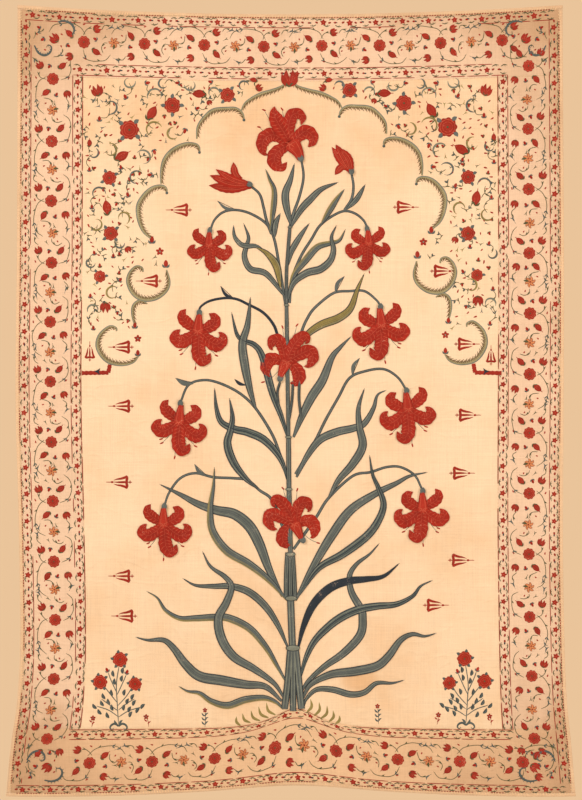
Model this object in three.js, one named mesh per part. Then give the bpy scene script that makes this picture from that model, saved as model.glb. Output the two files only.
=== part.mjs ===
// Embroidered wall hanging: a cotton field, four border strips round it and a narrow stitched edging.
// Millimetres, +Z up. The hanging stands in the XZ plane with its face towards -Y.
// The origin is on the top edge, halfway along it.
//
// Every piece is cut from one flat plan, where u runs across from the middle and v runs down from the top edge.
// hangingPoint() gives the place that a point of the plan takes when the cloth hangs.

import * as THREE from 'three';

// Flat plan
const HALF_WIDTH = 464;
const LENGTH = 1334;
const EDGING_WIDE = 6.5;
const SIDE_STRIP_WIDE = 111;
const TOP_STRIP_DEEP = 114;
const BOTTOM_STRIP_DEEP = 118;
const FIELD_HALF_WIDTH = HALF_WIDTH - SIDE_STRIP_WIDE;
const FIELD_BOTTOM = LENGTH - BOTTOM_STRIP_DEEP;

// Thickness of the cloth and of the rolled edging, and the parting between two pieces
const CLOTH_THICK = 1.6;
const EDGING_THICK = 3.0;
const EDGING_RIM_THICK = 1.2;
const PARTING = 0.3;

// Size of the facets
const CELL = 24;

// The side edges, which draw in above the hem and flare below it
const SIDE_EDGES = [
  { drop: 0, left: -462, right: 464 },
  { drop: 420, left: -464, right: 467 },
  { drop: 653, left: -466, right: 466.5 },
  { drop: 874, left: -460.5, right: 465 },
  { drop: 1080, left: -458, right: 468 },
  { drop: 1175, left: -463.5, right: 472 },
  { drop: 1240, left: -472.5, right: 478 },
  { drop: 1334, left: -481, right: 485.5 },
];

// How far each level line rises at the mound in the middle, and half the mound's width there
const MOUND = [
  { drop: 0, rise: 0, spread: 60 },
  { drop: 1010, rise: 0, spread: 58 },
  { drop: 1150, rise: 13, spread: 55 },
  { drop: 1216, rise: 37, spread: 54 },
  { drop: 1236, rise: 39, spread: 76 },
  { drop: 1314, rise: 26, spread: 128 },
  { drop: 1334, rise: 24, spread: 165 },
];
const MOUND_AT = 8;
const MOUND_FALL = 1.2;

// How far the corners stand above the middle of the top edge, and where that has died away
const TOP_CORNER_RISE = 15;
const TOP_RISE_FADES_BY = 760;
const HEM_CORNER_RISE = 4;

// Folds that show from a step away: the middle of each, its turn from level in degrees,
// its half length, its half width and how far it stands towards the front
const FOLDS = [
  { x: 5, z: -1285, turn: 88, long: 190, wide: 92, stands: 8 },
  { x: -205, z: -1290, turn: 98, long: 210, wide: 78, stands: -5 },
  { x: 225, z: -1300, turn: 80, long: 220, wide: 80, stands: -5 },
  { x: -455, z: -1330, turn: 118, long: 190, wide: 84, stands: 8 },
  { x: 462, z: -1335, turn: 64, long: 200, wide: 80, stands: 9 },
  { x: -20, z: -656, turn: 1, long: 430, wide: 17, stands: -1.6 },
  { x: 229, z: -745, turn: 90, long: 520, wide: 15, stands: 1.4 },
  { x: -260, z: -380, turn: 74, long: 300, wide: 120, stands: 3 },
  { x: 150, z: -330, turn: 100, long: 260, wide: 130, stands: -3 },
  { x: -60, z: -900, turn: 92, long: 240, wide: 110, stands: 3 },
  { x: -330, z: -960, turn: 84, long: 220, wide: 70, stands: -3 },
  { x: 330, z: -930, turn: 97, long: 240, wide: 80, stands: 3 },
  { x: -462, z: 0, turn: 60, long: 150, wide: 70, stands: 4 },
  { x: 462, z: 0, turn: 120, long: 150, wide: 70, stands: 3 },
];

const COTTON_CREAM = 0xf6d2a4;
const COTTON_BORDER = 0xeec79b;
const COTTON_TAN = 0xe3b688;
const EDGING_ECRU = 0xe8c79c;

// A smooth curve through one column of a table, with drop running down the rows
function alongTable(rows, column, drop) {
  const last = rows.length - 1;
  let i = 0;
  while (i < last - 1 && drop > rows[i + 1].drop) {
    i += 1;
  }
  const slopeAt = (k) => {
    const before = rows[Math.max(k - 1, 0)];
    const after = rows[Math.min(k + 1, last)];
    return (after[column] - before[column]) / (after.drop - before.drop);
  };
  const span = rows[i + 1].drop - rows[i].drop;
  const t = THREE.MathUtils.clamp((drop - rows[i].drop) / span, 0, 1);
  const startWeight = (1 + 2 * t) * (1 - t) * (1 - t);
  const startSlopeWeight = t * (1 - t) * (1 - t);
  const endSlopeWeight = -t * t * (1 - t);
  return (
    rows[i][column] * startWeight +
    rows[i + 1][column] * (1 - startWeight) +
    span * (slopeAt(i) * startSlopeWeight + slopeAt(i + 1) * endSlopeWeight)
  );
}

// How far the cloth stands towards the front at a place on it
function standsForward(x, z) {
  let total = 0;
  for (const fold of FOLDS) {
    const turn = THREE.MathUtils.degToRad(fold.turn);
    const along = (x - fold.x) * Math.cos(turn) + (z - fold.z) * Math.sin(turn);
    const across = (z - fold.z) * Math.cos(turn) - (x - fold.x) * Math.sin(turn);
    total += fold.stands * Math.exp(-((along / fold.long) ** 2) - (across / fold.wide) ** 2);
  }
  return total;
}

// The place of a plan point when the cloth hangs, in the middle of its thickness
function hangingPoint(u, v) {
  const left = alongTable(SIDE_EDGES, 'left', v);
  const right = alongTable(SIDE_EDGES, 'right', v);
  const share = (u + HALF_WIDTH) / (2 * HALF_WIDTH);
  const x = THREE.MathUtils.lerp(left, right, share);
  const outward = u / HALF_WIDTH;
  const topRise = TOP_CORNER_RISE * outward ** 2 * Math.max(0, 1 - v / TOP_RISE_FADES_BY) ** 2;
  const hemRise = HEM_CORNER_RISE * outward ** 4 * (v / LENGTH) ** 12;
  const fromMound = (u - MOUND_AT) / alongTable(MOUND, 'spread', v);
  const mound = alongTable(MOUND, 'rise', v) * (1 + fromMound ** 2) ** -MOUND_FALL;
  const z = topRise + hemRise + mound - v;
  return new THREE.Vector3(x, -standsForward(x, z), z);
}

// Even steps from the first seam to the last, with a line on every seam and main fold between
function gridLines(seams) {
  const lines = [seams[0]];
  for (let i = 1; i < seams.length; i += 1) {
    const span = seams[i] - seams[i - 1];
    const cells = Math.max(1, Math.round(span / CELL));
    for (let k = 1; k <= cells; k += 1) {
      lines.push(seams[i - 1] + (span * k) / cells);
    }
  }
  return lines;
}

const LEVEL_CREASE = 656;
const UPRIGHT_CREASE = 229;
const ACROSS_LINES = gridLines([
  -HALF_WIDTH,
  -HALF_WIDTH + EDGING_WIDE,
  -FIELD_HALF_WIDTH,
  MOUND_AT,
  UPRIGHT_CREASE,
  FIELD_HALF_WIDTH,
  HALF_WIDTH - EDGING_WIDE,
  HALF_WIDTH,
]);
const DOWN_LINES = gridLines([
  0,
  EDGING_WIDE,
  TOP_STRIP_DEEP,
  LEVEL_CREASE,
  FIELD_BOTTOM,
  LENGTH - EDGING_WIDE,
  LENGTH,
]);

// The grid lines of one piece, drawn in by half the parting where it meets a neighbour
function linesWithin(lines, from, to) {
  const inside = lines.filter((line) => line > from + 1 && line < to - 1);
  const start = from > lines[0] ? from + PARTING / 2 : from;
  const end = to < lines[lines.length - 1] ? to - PARTING / 2 : to;
  return [start, ...inside, end];
}

// A closed sheet between plan lines; thickAt gives its thickness at a row and column of the grid
function sheetGeometry(acrossLines, downLines, thickAt) {
  const columns = acrossLines.length;
  const rows = downLines.length;
  const positions = [];
  for (const side of [-1, 1]) {
    for (let r = 0; r < rows; r += 1) {
      for (let c = 0; c < columns; c += 1) {
        const point = hangingPoint(acrossLines[c], downLines[r]);
        positions.push(point.x, point.y + (side * thickAt(r, c)) / 2, point.z);
      }
    }
  }
  const front = (r, c) => r * columns + c;
  const back = (r, c) => front(r, c) + rows * columns;
  const faces = [];
  for (let r = 0; r < rows - 1; r += 1) {
    for (let c = 0; c < columns - 1; c += 1) {
      faces.push(front(r, c), front(r + 1, c), front(r, c + 1));
      faces.push(front(r, c + 1), front(r + 1, c), front(r + 1, c + 1));
      faces.push(back(r, c), back(r, c + 1), back(r + 1, c));
      faces.push(back(r, c + 1), back(r + 1, c + 1), back(r + 1, c));
    }
  }
  const closeEdge = (steps, at) => {
    for (let i = 0; i < steps; i += 1) {
      const [r0, c0] = at(i);
      const [r1, c1] = at(i + 1);
      faces.push(front(r0, c0), front(r1, c1), back(r0, c0));
      faces.push(front(r1, c1), back(r1, c1), back(r0, c0));
    }
  };
  closeEdge(columns - 1, (i) => [0, i]);
  closeEdge(rows - 1, (i) => [i, columns - 1]);
  closeEdge(columns - 1, (i) => [rows - 1, columns - 1 - i]);
  closeEdge(rows - 1, (i) => [rows - 1 - i, 0]);
  const geometry = new THREE.BufferGeometry();
  geometry.setAttribute('position', new THREE.Float32BufferAttribute(positions, 3));
  geometry.setIndex(faces);
  geometry.computeVertexNormals();
  return geometry;
}

function clothMesh(name, color, geometry) {
  const material = new THREE.MeshStandardMaterial({ color, roughness: 0.9, metalness: 0 });
  const mesh = new THREE.Mesh(geometry, material);
  mesh.name = name;
  return mesh;
}

// A flat-cut piece of cotton
function clothPiece(name, color, fromU, toU, fromV, toV) {
  const across = linesWithin(ACROSS_LINES, fromU, toU);
  const down = linesWithin(DOWN_LINES, fromV, toV);
  return clothMesh(name, color, sheetGeometry(across, down, () => CLOTH_THICK));
}

// The rolled edging: a narrow strip that is fullest along its middle
const edgingThick = (line) => (line === 1 ? EDGING_THICK : EDGING_RIM_THICK);

function midLine(lines) {
  return [lines[0], (lines[0] + lines[1]) / 2, lines[1]];
}

function levelEdging(name, fromV, toV) {
  const down = midLine(linesWithin(DOWN_LINES, fromV, toV));
  return clothMesh(name, EDGING_ECRU, sheetGeometry(ACROSS_LINES, down, (r) => edgingThick(r)));
}

function uprightEdging(name, fromU, toU) {
  const across = midLine(linesWithin(ACROSS_LINES, fromU, toU));
  const down = linesWithin(DOWN_LINES, EDGING_WIDE, LENGTH - EDGING_WIDE);
  return clothMesh(name, EDGING_ECRU, sheetGeometry(across, down, (r, c) => edgingThick(c)));
}

const hanging = new THREE.Group();
const innerHalf = HALF_WIDTH - EDGING_WIDE;
hanging.add(
  clothPiece('field', COTTON_CREAM, -FIELD_HALF_WIDTH, FIELD_HALF_WIDTH, TOP_STRIP_DEEP, FIELD_BOTTOM),
  clothPiece('border_top', COTTON_BORDER, -innerHalf, innerHalf, EDGING_WIDE, TOP_STRIP_DEEP),
  clothPiece('border_left', COTTON_BORDER, -innerHalf, -FIELD_HALF_WIDTH, TOP_STRIP_DEEP, FIELD_BOTTOM),
  clothPiece('border_right', COTTON_BORDER, FIELD_HALF_WIDTH, innerHalf, TOP_STRIP_DEEP, FIELD_BOTTOM),
  clothPiece('border_bottom', COTTON_TAN, -innerHalf, innerHalf, FIELD_BOTTOM, LENGTH - EDGING_WIDE),
  levelEdging('edging_top', 0, EDGING_WIDE),
  levelEdging('edging_bottom', LENGTH - EDGING_WIDE, LENGTH),
  uprightEdging('edging_left', -HALF_WIDTH, -innerHalf),
  uprightEdging('edging_right', innerHalf, HALF_WIDTH),
);

export default hanging;
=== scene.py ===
import math

import bpy
import numpy as np
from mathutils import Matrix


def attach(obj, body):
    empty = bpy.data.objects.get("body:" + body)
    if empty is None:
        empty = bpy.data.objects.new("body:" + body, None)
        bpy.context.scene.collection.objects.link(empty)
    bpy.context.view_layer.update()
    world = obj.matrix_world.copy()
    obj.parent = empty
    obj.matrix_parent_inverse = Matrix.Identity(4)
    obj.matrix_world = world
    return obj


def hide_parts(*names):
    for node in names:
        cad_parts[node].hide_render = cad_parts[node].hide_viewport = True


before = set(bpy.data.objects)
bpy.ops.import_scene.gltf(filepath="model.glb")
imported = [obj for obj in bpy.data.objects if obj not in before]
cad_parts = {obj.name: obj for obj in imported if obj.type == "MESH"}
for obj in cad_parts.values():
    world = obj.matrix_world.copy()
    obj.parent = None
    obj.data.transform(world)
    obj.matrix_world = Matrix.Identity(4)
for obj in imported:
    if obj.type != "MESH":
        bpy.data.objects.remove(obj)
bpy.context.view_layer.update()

# Embroidered wall hanging: a cotton field with a flowering plant in a niche, floral border strips
# round it and a narrow rolled edging. Tables and helpers are in millimetres, in the frame's own axes:
# x across from the middle, z up from the top edge, the face towards -y.

bl_info = {
    "name": "Embroidered wall hanging",
    "version": (1, 0, 0),
    "blender": (4, 5, 0),
    "location": "View3D > Sidebar > Hanging",
    "description": "Cotton cloth, silk stitching and edging of an embroidered wall hanging",
    "category": "Object",
}

MM = 0.001

# Flat plan of the cloth: u runs across from the middle, v runs down from the top edge
HALF_WIDTH = 464
LENGTH = 1334
EDGING_WIDE = 6.5
FIELD_HALF_WIDTH = 353
TOP_STRIP_DEEP = 114
FIELD_BOTTOM = 1216
CLOTH_FRONT = 0.8
EDGING_HALF_THICK = 1.5
PARTING = 0.3

# The side edges: drop, left, right
SIDE_EDGES = [
    (0, -462, 464), (420, -464, 467), (653, -466, 466.5), (874, -460.5, 465),
    (1080, -458, 468), (1175, -463.5, 472), (1240, -472.5, 478), (1334, -481, 485.5),
]
# The mound of the hem: drop, rise, spread
MOUND = [
    (0, 0, 60), (1010, 0, 58), (1150, 13, 55), (1216, 37, 54),
    (1236, 39, 76), (1314, 26, 128), (1334, 24, 165),
]
MOUND_AT = 8
MOUND_FALL = 1.2
TOP_CORNER_RISE = 15
TOP_RISE_FADES_BY = 760
HEM_CORNER_RISE = 4
# Main folds: x, z, turn from level in degrees, half length, half width, how far it stands forward
FOLDS = [
    (5, -1285, 88, 190, 92, 8), (-205, -1290, 98, 210, 78, -5), (225, -1300, 80, 220, 80, -5),
    (-455, -1330, 118, 190, 84, 8), (462, -1335, 64, 200, 80, 9), (-20, -656, 1, 430, 17, -1.6),
    (229, -745, 90, 520, 15, 1.4), (-260, -380, 74, 300, 120, 3), (150, -330, 100, 260, 130, -3),
    (-60, -900, 92, 240, 110, 3), (-330, -960, 84, 220, 70, -3), (330, -930, 97, 240, 80, 3),
    (-462, 0, 60, 150, 70, 4), (462, 0, 120, 150, 70, 3),
]
# Creases and puckers of the stitched cloth, in the same columns
CREASES = [
    (-46, -1055, 62, 46, 7, 1.1), (-28, -1075, 70, 40, 6, -0.9), (62, -1050, 118, 44, 7, 1.0),
    (84, -1070, 112, 36, 6, -0.8), (-4, -820, 84, 40, 8, 0.9), (-52, -806, 35, 60, 9, -0.7),
    (30, -560, 88, 120, 10, 0.6), (-150, -700, 12, 120, 11, 0.7), (170, -640, -8, 150, 12, -0.6),
    (-8, -1140, 84, 52, 9, 1.2), (22, -1160, 96, 60, 9, -1.0), (-60, -1165, 60, 60, 10, 0.8),
    (80, -1172, 116, 60, 10, 0.8), (-180, -1180, 82, 70, 14, 0.9), (190, -1190, 98, 70, 14, -0.9),
    (-300, -1150, 68, 90, 14, 0.8), (310, -1160, 110, 90, 14, 0.8), (-395, -300, 88, 150, 9, 0.5),
    (400, -380, 92, 170, 9, -0.5), (-410, -760, 90, 150, 10, -0.6), (405, -900, 91, 150, 10, 0.6),
    (-220, -60, 4, 150, 8, 0.5), (190, -64, -5, 140, 8, -0.5), (-250, -1262, 12, 120, 9, 0.7),
    (240, -1268, -10, 130, 9, 0.7), (20, -1230, 2, 80, 8, -0.9), (-110, -1245, 26, 60, 8, 0.8),
    (120, -1244, -24, 60, 8, 0.8), (0, -300, 90, 100, 16, -0.5), (-200, -930, 40, 70, 9, 0.6),
    (225, -905, -42, 70, 9, 0.6), (-260, -560, 78, 130, 14, 0.7), (285, -520, 84, 160, 14, 0.7),
]
# How much deeper than the table the creases are
CREASE_DEPTH = 1.5


def along_table(rows, column, drop):
    """A smooth curve through one column of a table, with drop in its first column."""
    table = np.asarray(rows, float)
    drops, values = table[:, 0], table[:, column]
    before = np.maximum(np.arange(len(drops)) - 1, 0)
    after = np.minimum(np.arange(len(drops)) + 1, len(drops) - 1)
    slopes = (values[after] - values[before]) / (drops[after] - drops[before])
    drop = np.asarray(drop, float)
    i = np.clip(np.searchsorted(drops, drop, side="right") - 1, 0, len(drops) - 2)
    span = drops[i + 1] - drops[i]
    t = np.clip((drop - drops[i]) / span, 0, 1)
    start = (1 + 2 * t) * (1 - t) ** 2
    bend = slopes[i] * t * (1 - t) ** 2 - slopes[i + 1] * t**2 * (1 - t)
    return values[i] * start + values[i + 1] * (1 - start) + span * bend


def forward(rows, x, z):
    """How far a table of folds makes the cloth stand towards the front."""
    total = np.zeros(np.broadcast(x, z).shape)
    for fold_x, fold_z, turn, long, wide, stands in rows:
        cosine, sine = math.cos(math.radians(turn)), math.sin(math.radians(turn))
        along = (x - fold_x) * cosine + (z - fold_z) * sine
        across = (z - fold_z) * cosine - (x - fold_x) * sine
        total = total + stands * np.exp(-((along / long) ** 2) - (across / wide) ** 2)
    return total


def hanging_point(u, v):
    """Where a point of the flat plan hangs: x and z."""
    u, v = np.asarray(u, float), np.asarray(v, float)
    left, right = along_table(SIDE_EDGES, 1, v), along_table(SIDE_EDGES, 2, v)
    x = left + (right - left) * (u + HALF_WIDTH) / (2 * HALF_WIDTH)
    outward = u / HALF_WIDTH
    top = TOP_CORNER_RISE * outward**2 * np.maximum(0, 1 - v / TOP_RISE_FADES_BY) ** 2
    hem = HEM_CORNER_RISE * outward**4 * np.abs(v / LENGTH) ** 12
    from_mound = (u - MOUND_AT) / along_table(MOUND, 2, v)
    mound = along_table(MOUND, 1, v) * (1 + from_mound**2) ** -MOUND_FALL
    return x, top + hem + mound - v


def place(x, z, height):
    """Points in metres, height being how far they stand in front of the middle of the cloth."""
    y = -forward(FOLDS, x, z) - forward(CREASES, x, z) * CREASE_DEPTH - height
    return np.stack([x, y, z], axis=-1).reshape(-1, 3) * MM


# Shader helpers

class Wire:
    """One socket of a finish. Sums and products of wires add their Math nodes."""

    def __init__(self, finish, socket):
        self.finish = finish
        self.socket = socket

    def maths(self, operation, *values):
        return self.finish.node("ShaderNodeMath", {"operation": operation}, values)

    def __add__(self, other):
        return self.maths("ADD", self, other)

    def __sub__(self, other):
        return self.maths("SUBTRACT", self, other)

    def __rsub__(self, other):
        return self.maths("SUBTRACT", other, self)

    def __mul__(self, other):
        return self.maths("MULTIPLY", self, other)

    def __truediv__(self, other):
        return self.maths("DIVIDE", self, other)

    def __pow__(self, other):
        return self.maths("POWER", self, other)

    def sine(self):
        return self.maths("SINE", self)

    def floor(self):
        return self.maths("FLOOR", self)

    def __abs__(self):
        return self.maths("ABSOLUTE", self)

    __radd__ = __add__
    __rmul__ = __mul__

    def between(self, low, high):
        """0 below low, 1 above high, with a soft step between them."""
        settings = {"interpolation_type": "SMOOTHSTEP"}
        return self.finish.node("ShaderNodeMapRange", settings, {"Value": self, 1: low, 2: high})


class Finish:
    """A material, its nodes and its shader."""

    def __init__(self, name, **constants):
        self.material = bpy.data.materials.new(name)
        self.material.use_nodes = True
        self.tree = self.material.node_tree
        self.shader = self.tree.nodes["Principled BSDF"]
        for socket, value in constants.items():
            self.shader.inputs[socket.replace("_", " ")].default_value = value

    def node(self, kind, settings=None, values=(), output=0):
        """A node of this type: its settings come first, then the values or links of its sockets."""
        made = self.tree.nodes.new(kind)
        for name, value in (settings or {}).items():
            setattr(made, name, value)
        for key, value in values.items() if isinstance(values, dict) else enumerate(values):
            if isinstance(value, Wire):
                self.tree.links.new(value.socket, made.inputs[key])
            else:
                made.inputs[key].default_value = value
        return Wire(self, made.outputs[output])

    def parts(self, vector):
        """The three numbers of a vector."""
        first = self.node("ShaderNodeSeparateXYZ", values=[vector])
        return [Wire(self, socket) for socket in first.socket.node.outputs]

    def place(self):
        """The place on the object, in millimetres."""
        spot = self.node("ShaderNodeTexCoord", output="Object")
        return self.node("ShaderNodeVectorMath", {"operation": "MULTIPLY"}, [spot, (1 / MM,) * 3])

    def noise(self, vector, size, stretch=(1, 1, 1), detail=2.0):
        """Soft noise of about 0 to 1 whose lumps are size millimetres across, times the stretch."""
        scale = [1 / (size * each) for each in stretch]
        spot = self.node("ShaderNodeVectorMath", {"operation": "MULTIPLY"}, [vector, scale])
        lumps = self.node("ShaderNodeTexNoise", values={"Vector": spot, "Scale": 1.0, "Detail": detail})
        return (lumps - 0.5) * 1.8 + 0.5

    def mix(self, factor, low, high, how="MIX"):
        """From one colour to another."""
        settings = {"data_type": "RGBA", "blend_type": how}
        values = {0: factor}
        for key, colour in ((6, low), (7, high)):
            values[key] = colour if isinstance(colour, Wire) else (*colour[:3], 1)
        return self.node("ShaderNodeMix", settings, values, output=2)

    def grey(self, value):
        """A number as a colour, to multiply another colour with."""
        return self.node("ShaderNodeCombineXYZ", values=[value, value, value])

    def feed(self, socket, wire):
        self.tree.links.new(wire.socket, self.shader.inputs[socket])

    def bump(self, height, distance, strength):
        values = {"Height": height, "Distance": distance * MM, "Strength": strength}
        self.feed("Normal", self.node("ShaderNodeBump", values=values))


# Mesh helpers

def new_piece(name, points, faces, material, slot):
    """A mesh object that rides on the hanging and takes the given finish; the slot is not used."""
    mesh = bpy.data.meshes.new(name)
    mesh.from_pydata(points.tolist(), [], faces)
    mesh.validate()
    mesh.shade_smooth()
    mesh.materials.append(material)
    piece = bpy.data.objects.new(name, mesh)
    bpy.context.scene.collection.objects.link(piece)
    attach(piece, "root")
    return piece


def grid_faces(rows, columns, first=0, wrap=False):
    """Four-cornered faces between the rows of a grid of points."""
    across = columns if wrap else columns - 1
    r, c = np.meshgrid(np.arange(rows - 1), np.arange(across), indexing="ij")
    near, far = r * columns + c, r * columns + (c + 1) % columns
    corners = np.stack([near, near + columns, far + columns, far], axis=-1)
    return corners.reshape(-1, 4) + first


# At a seam: places of the close grid lines, how far back the cloth turns, and how wide the turn is
SEAM_LINES = np.array([0.0, 0.7, 2.2])
TURNED_UNDER = 0.62
TURN_WIDE = 1.1


def cloth_lines(start, end, cell):
    """Grid lines from seam to seam, closer together at both, where the cloth turns under."""
    close = SEAM_LINES[:-1]
    inner = np.linspace(start + SEAM_LINES[-1], end - SEAM_LINES[-1], max(2, round((end - start) / cell)))
    return np.concatenate([start + close, inner, end - close[::-1]])


def cloth_sheet(name, box, cell, material, slot):
    """A closed thin sheet over one piece of the plan, its seam edges turned under."""
    from_u, to_u, from_v, to_v = box
    half = PARTING / 2
    across = cloth_lines(from_u + half, to_u - half, cell)
    down = cloth_lines(from_v + half, to_v - half, cell)
    u, v = np.meshgrid(across, down)
    x, z = hanging_point(u, v)
    from_edge = np.minimum.reduce([u - across[0], across[-1] - u, v - down[0], down[-1] - v])
    front = place(x, z, CLOTH_FRONT - TURNED_UNDER * np.exp(-((from_edge / TURN_WIDE) ** 2)))
    back = place(x, z, -CLOTH_FRONT)
    rows, columns = u.shape
    count = rows * columns
    faces = [grid_faces(rows, columns), grid_faces(rows, columns, count)[:, ::-1]]
    index = np.arange(count).reshape(rows, columns)
    rim = np.concatenate([index[0, :-1], index[:-1, -1], index[-1, :0:-1], index[:0:-1, 0]])
    following = np.roll(rim, -1)
    faces.append(np.stack([rim, following, following + count, rim + count], axis=-1))
    piece = new_piece(name, np.vstack([front, back]), np.vstack(faces).tolist(), material, slot)
    piece.data.set_sharp_from_angle(angle=math.radians(50))
    return piece


def wavy(at, length, share, seed):
    """A gentle unevenness along a line: a few sines of fixed phase, from -share to share."""
    total = 0
    for k in range(1, 4):
        total = total + np.sin(at / length * (2 * math.pi) * (0.6 + 0.43 * k) + seed * (1.7 + k)) / 3
    return share * total


# The rolled edging: sides of the roll, step along it, pitch of the stitches, how deep and how wide each
# one pinches it, how far its ends are rounded, and how far it stays inside its solid
ROLL_SIDES = 12
EDGE_STEP = 1.5
STITCH_PITCH = 4.5
PINCH = 0.16
PINCH_WIDE = 0.9
END_ROUND = 1.4
HAIR = 0.05


def blunt(value):
    """Fills out the corners of a round section."""
    return np.sign(value) * np.abs(value) ** 0.65


def rolled_edge(name, start, end, material, slot, seed):
    """A closed roll of folded cotton from one plan point to another, pinched at each stitch."""
    start, end = np.array(start, float), np.array(end, float)
    length = np.linalg.norm(end - start)
    along = (end - start) / length
    sideways = left_of(along)
    at = np.linspace(0, length, round(length / EDGE_STEP) + 1)
    turn = np.arange(ROLL_SIDES) / ROLL_SIDES * (2 * math.pi)
    across = blunt(np.cos(turn)) * (EDGING_WIDE / 2 - PARTING / 2 - HAIR)
    thick = blunt(np.sin(turn)) * (EDGING_HALF_THICK - HAIR)
    from_stitch = (at + STITCH_PITCH / 2) % STITCH_PITCH - STITCH_PITCH / 2
    pinch = 1 - PINCH * np.exp(-((from_stitch / PINCH_WIDE) ** 2))
    uneven = 1 + wavy(at, 34, 0.06, seed)
    offset = across[None, :] * np.minimum(1, uneven[:, None] * pinch[:, None])
    closing = np.sqrt(np.clip(np.minimum(at, length - at) / END_ROUND, 0.05, 1))
    centre = start + at[:, None] * along
    u = centre[:, 0, None] + sideways[0] * offset
    v = centre[:, 1, None] + sideways[1] * offset
    height = thick[None, :] * (pinch * np.minimum(1, uneven) * closing)[:, None]
    x, z = hanging_point(u, v)
    ring = np.arange(ROLL_SIDES)
    last = (len(at) - 1) * ROLL_SIDES
    faces = grid_faces(len(at), ROLL_SIDES, wrap=True).tolist()
    faces += [ring.tolist(), (ring[::-1] + last).tolist()]
    if sideways[0] * along[1] - sideways[1] * along[0] > 0:
        faces = [face[::-1] for face in faces]
    piece = new_piece(name, place(x, z, height), faces, material, slot)
    piece.data.set_sharp_from_angle(angle=math.radians(60))
    return piece


# Stitching: flat shapes of chain stitch, gathered by thread

# One square of the layout, ten pixels of the photo
SQUARE = 17.0
# Points that are worked out between two points of a course
CURVE_STEPS = 12
# Pitch of the rows of stitching, length of a link, and how deep the rims of a ribbon sink into the cloth
ROW_PITCH = 1.25
LINK_LONG = 2.6
RIM_SINK = 0.22
# Columns of a ribbon, as shares of its half width
RIBBON_COLUMNS = {3: (-1, 0, 1), 5: (-1, -0.6, 0, 0.6, 1)}
# How far a curl winds in, as a share of its radius
CURL_INWARD = 0.3


def squares(points):
    """Points of the layout, in squares across from the middle and down, as millimetres."""
    return np.asarray(points, float).reshape(-1, 2) * (SQUARE, -SQUARE)


def toward(angle):
    """The way that an angle in degrees points."""
    return np.array([math.cos(math.radians(angle)), math.sin(math.radians(angle))])


def left_of(way):
    """The way at a right angle to the left."""
    return np.array([-way[1], way[0]])


def unit(way):
    """The same way with a length of one."""
    return way / max(np.hypot(*way), 1e-6)


def straight(start, end, bow=(0, 0)):
    """A course of three points, with its middle moved by the bow."""
    return [start, (start + end) / 2 + bow, end]


def plan_run(start, end):
    """A line of the plan as its start, its length, the way along it and the way to its left."""
    start, end = np.array(start, float) * (1, -1), np.array(end, float) * (1, -1)
    length = np.hypot(*(end - start))
    way = (end - start) / length
    return start, length, way, left_of(way)


def smooth_line(points, step):
    """A smooth curve through the points, with a point every few millimetres."""
    p = np.asarray(points, float)
    before = np.vstack([2 * p[0] - p[1], p[:-2]])
    after = np.vstack([p[2:], 2 * p[-1] - p[-2]])
    t = (np.arange(CURVE_STEPS) / CURVE_STEPS)[None, :, None]
    a, b, c, d = (each[:, None, :] for each in (before, p[:-1], p[1:], after))
    fine = 0.5 * (2 * b + (c - a) * t + (2 * a - 5 * b + 4 * c - d) * t**2 + (3 * b - a - 3 * c + d) * t**3)
    fine = np.vstack([fine.reshape(-1, 2), p[-1:]])
    lengths = np.concatenate([[0], np.cumsum(np.hypot(*np.diff(fine, axis=0).T))])
    s = np.linspace(0, lengths[-1], max(3, int(round(lengths[-1] / step)) + 1))
    return np.column_stack([np.interp(s, lengths, fine[:, 0]), np.interp(s, lengths, fine[:, 1])]), s


class Track:
    """The course of a stitched band: its middle line, the way to its left, and its half width."""

    def __init__(self, points, half, step):
        self.line, self.s = smooth_line(points, step)
        self.t = self.s / self.s[-1]
        self.half = half(self.t) if callable(half) else np.full(len(self.t), float(half))
        heading = np.gradient(self.line, self.s, axis=0)
        heading /= np.maximum(np.hypot(*heading.T), 1e-9)[:, None]
        self.normal = np.column_stack([-heading[:, 1], heading[:, 0]])
        turning = np.gradient(np.unwrap(np.arctan2(heading[:, 1], heading[:, 0])), self.s)
        room = 0.92 / np.maximum(np.abs(turning), 1e-6)
        self.left = np.where(turning > 0, np.minimum(self.half, room), self.half)
        self.right = np.where(turning < 0, np.minimum(self.half, room), self.half)

    def beside(self, share, start=0.0, end=1.0):
        """The line at a share of the half width, 1 at the left edge and -1 at the right."""
        reach = (self.left if share > 0 else self.right) * abs(share) * np.sign(share)
        keep = (self.t >= start - 1e-9) & (self.t <= end + 1e-9)
        return (self.line + self.normal * reach[:, None])[keep]

    def at(self, t, share=0.0):
        line = self.beside(share)
        return np.array([np.interp(t, self.t, line[:, 0]), np.interp(t, self.t, line[:, 1])])


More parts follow.
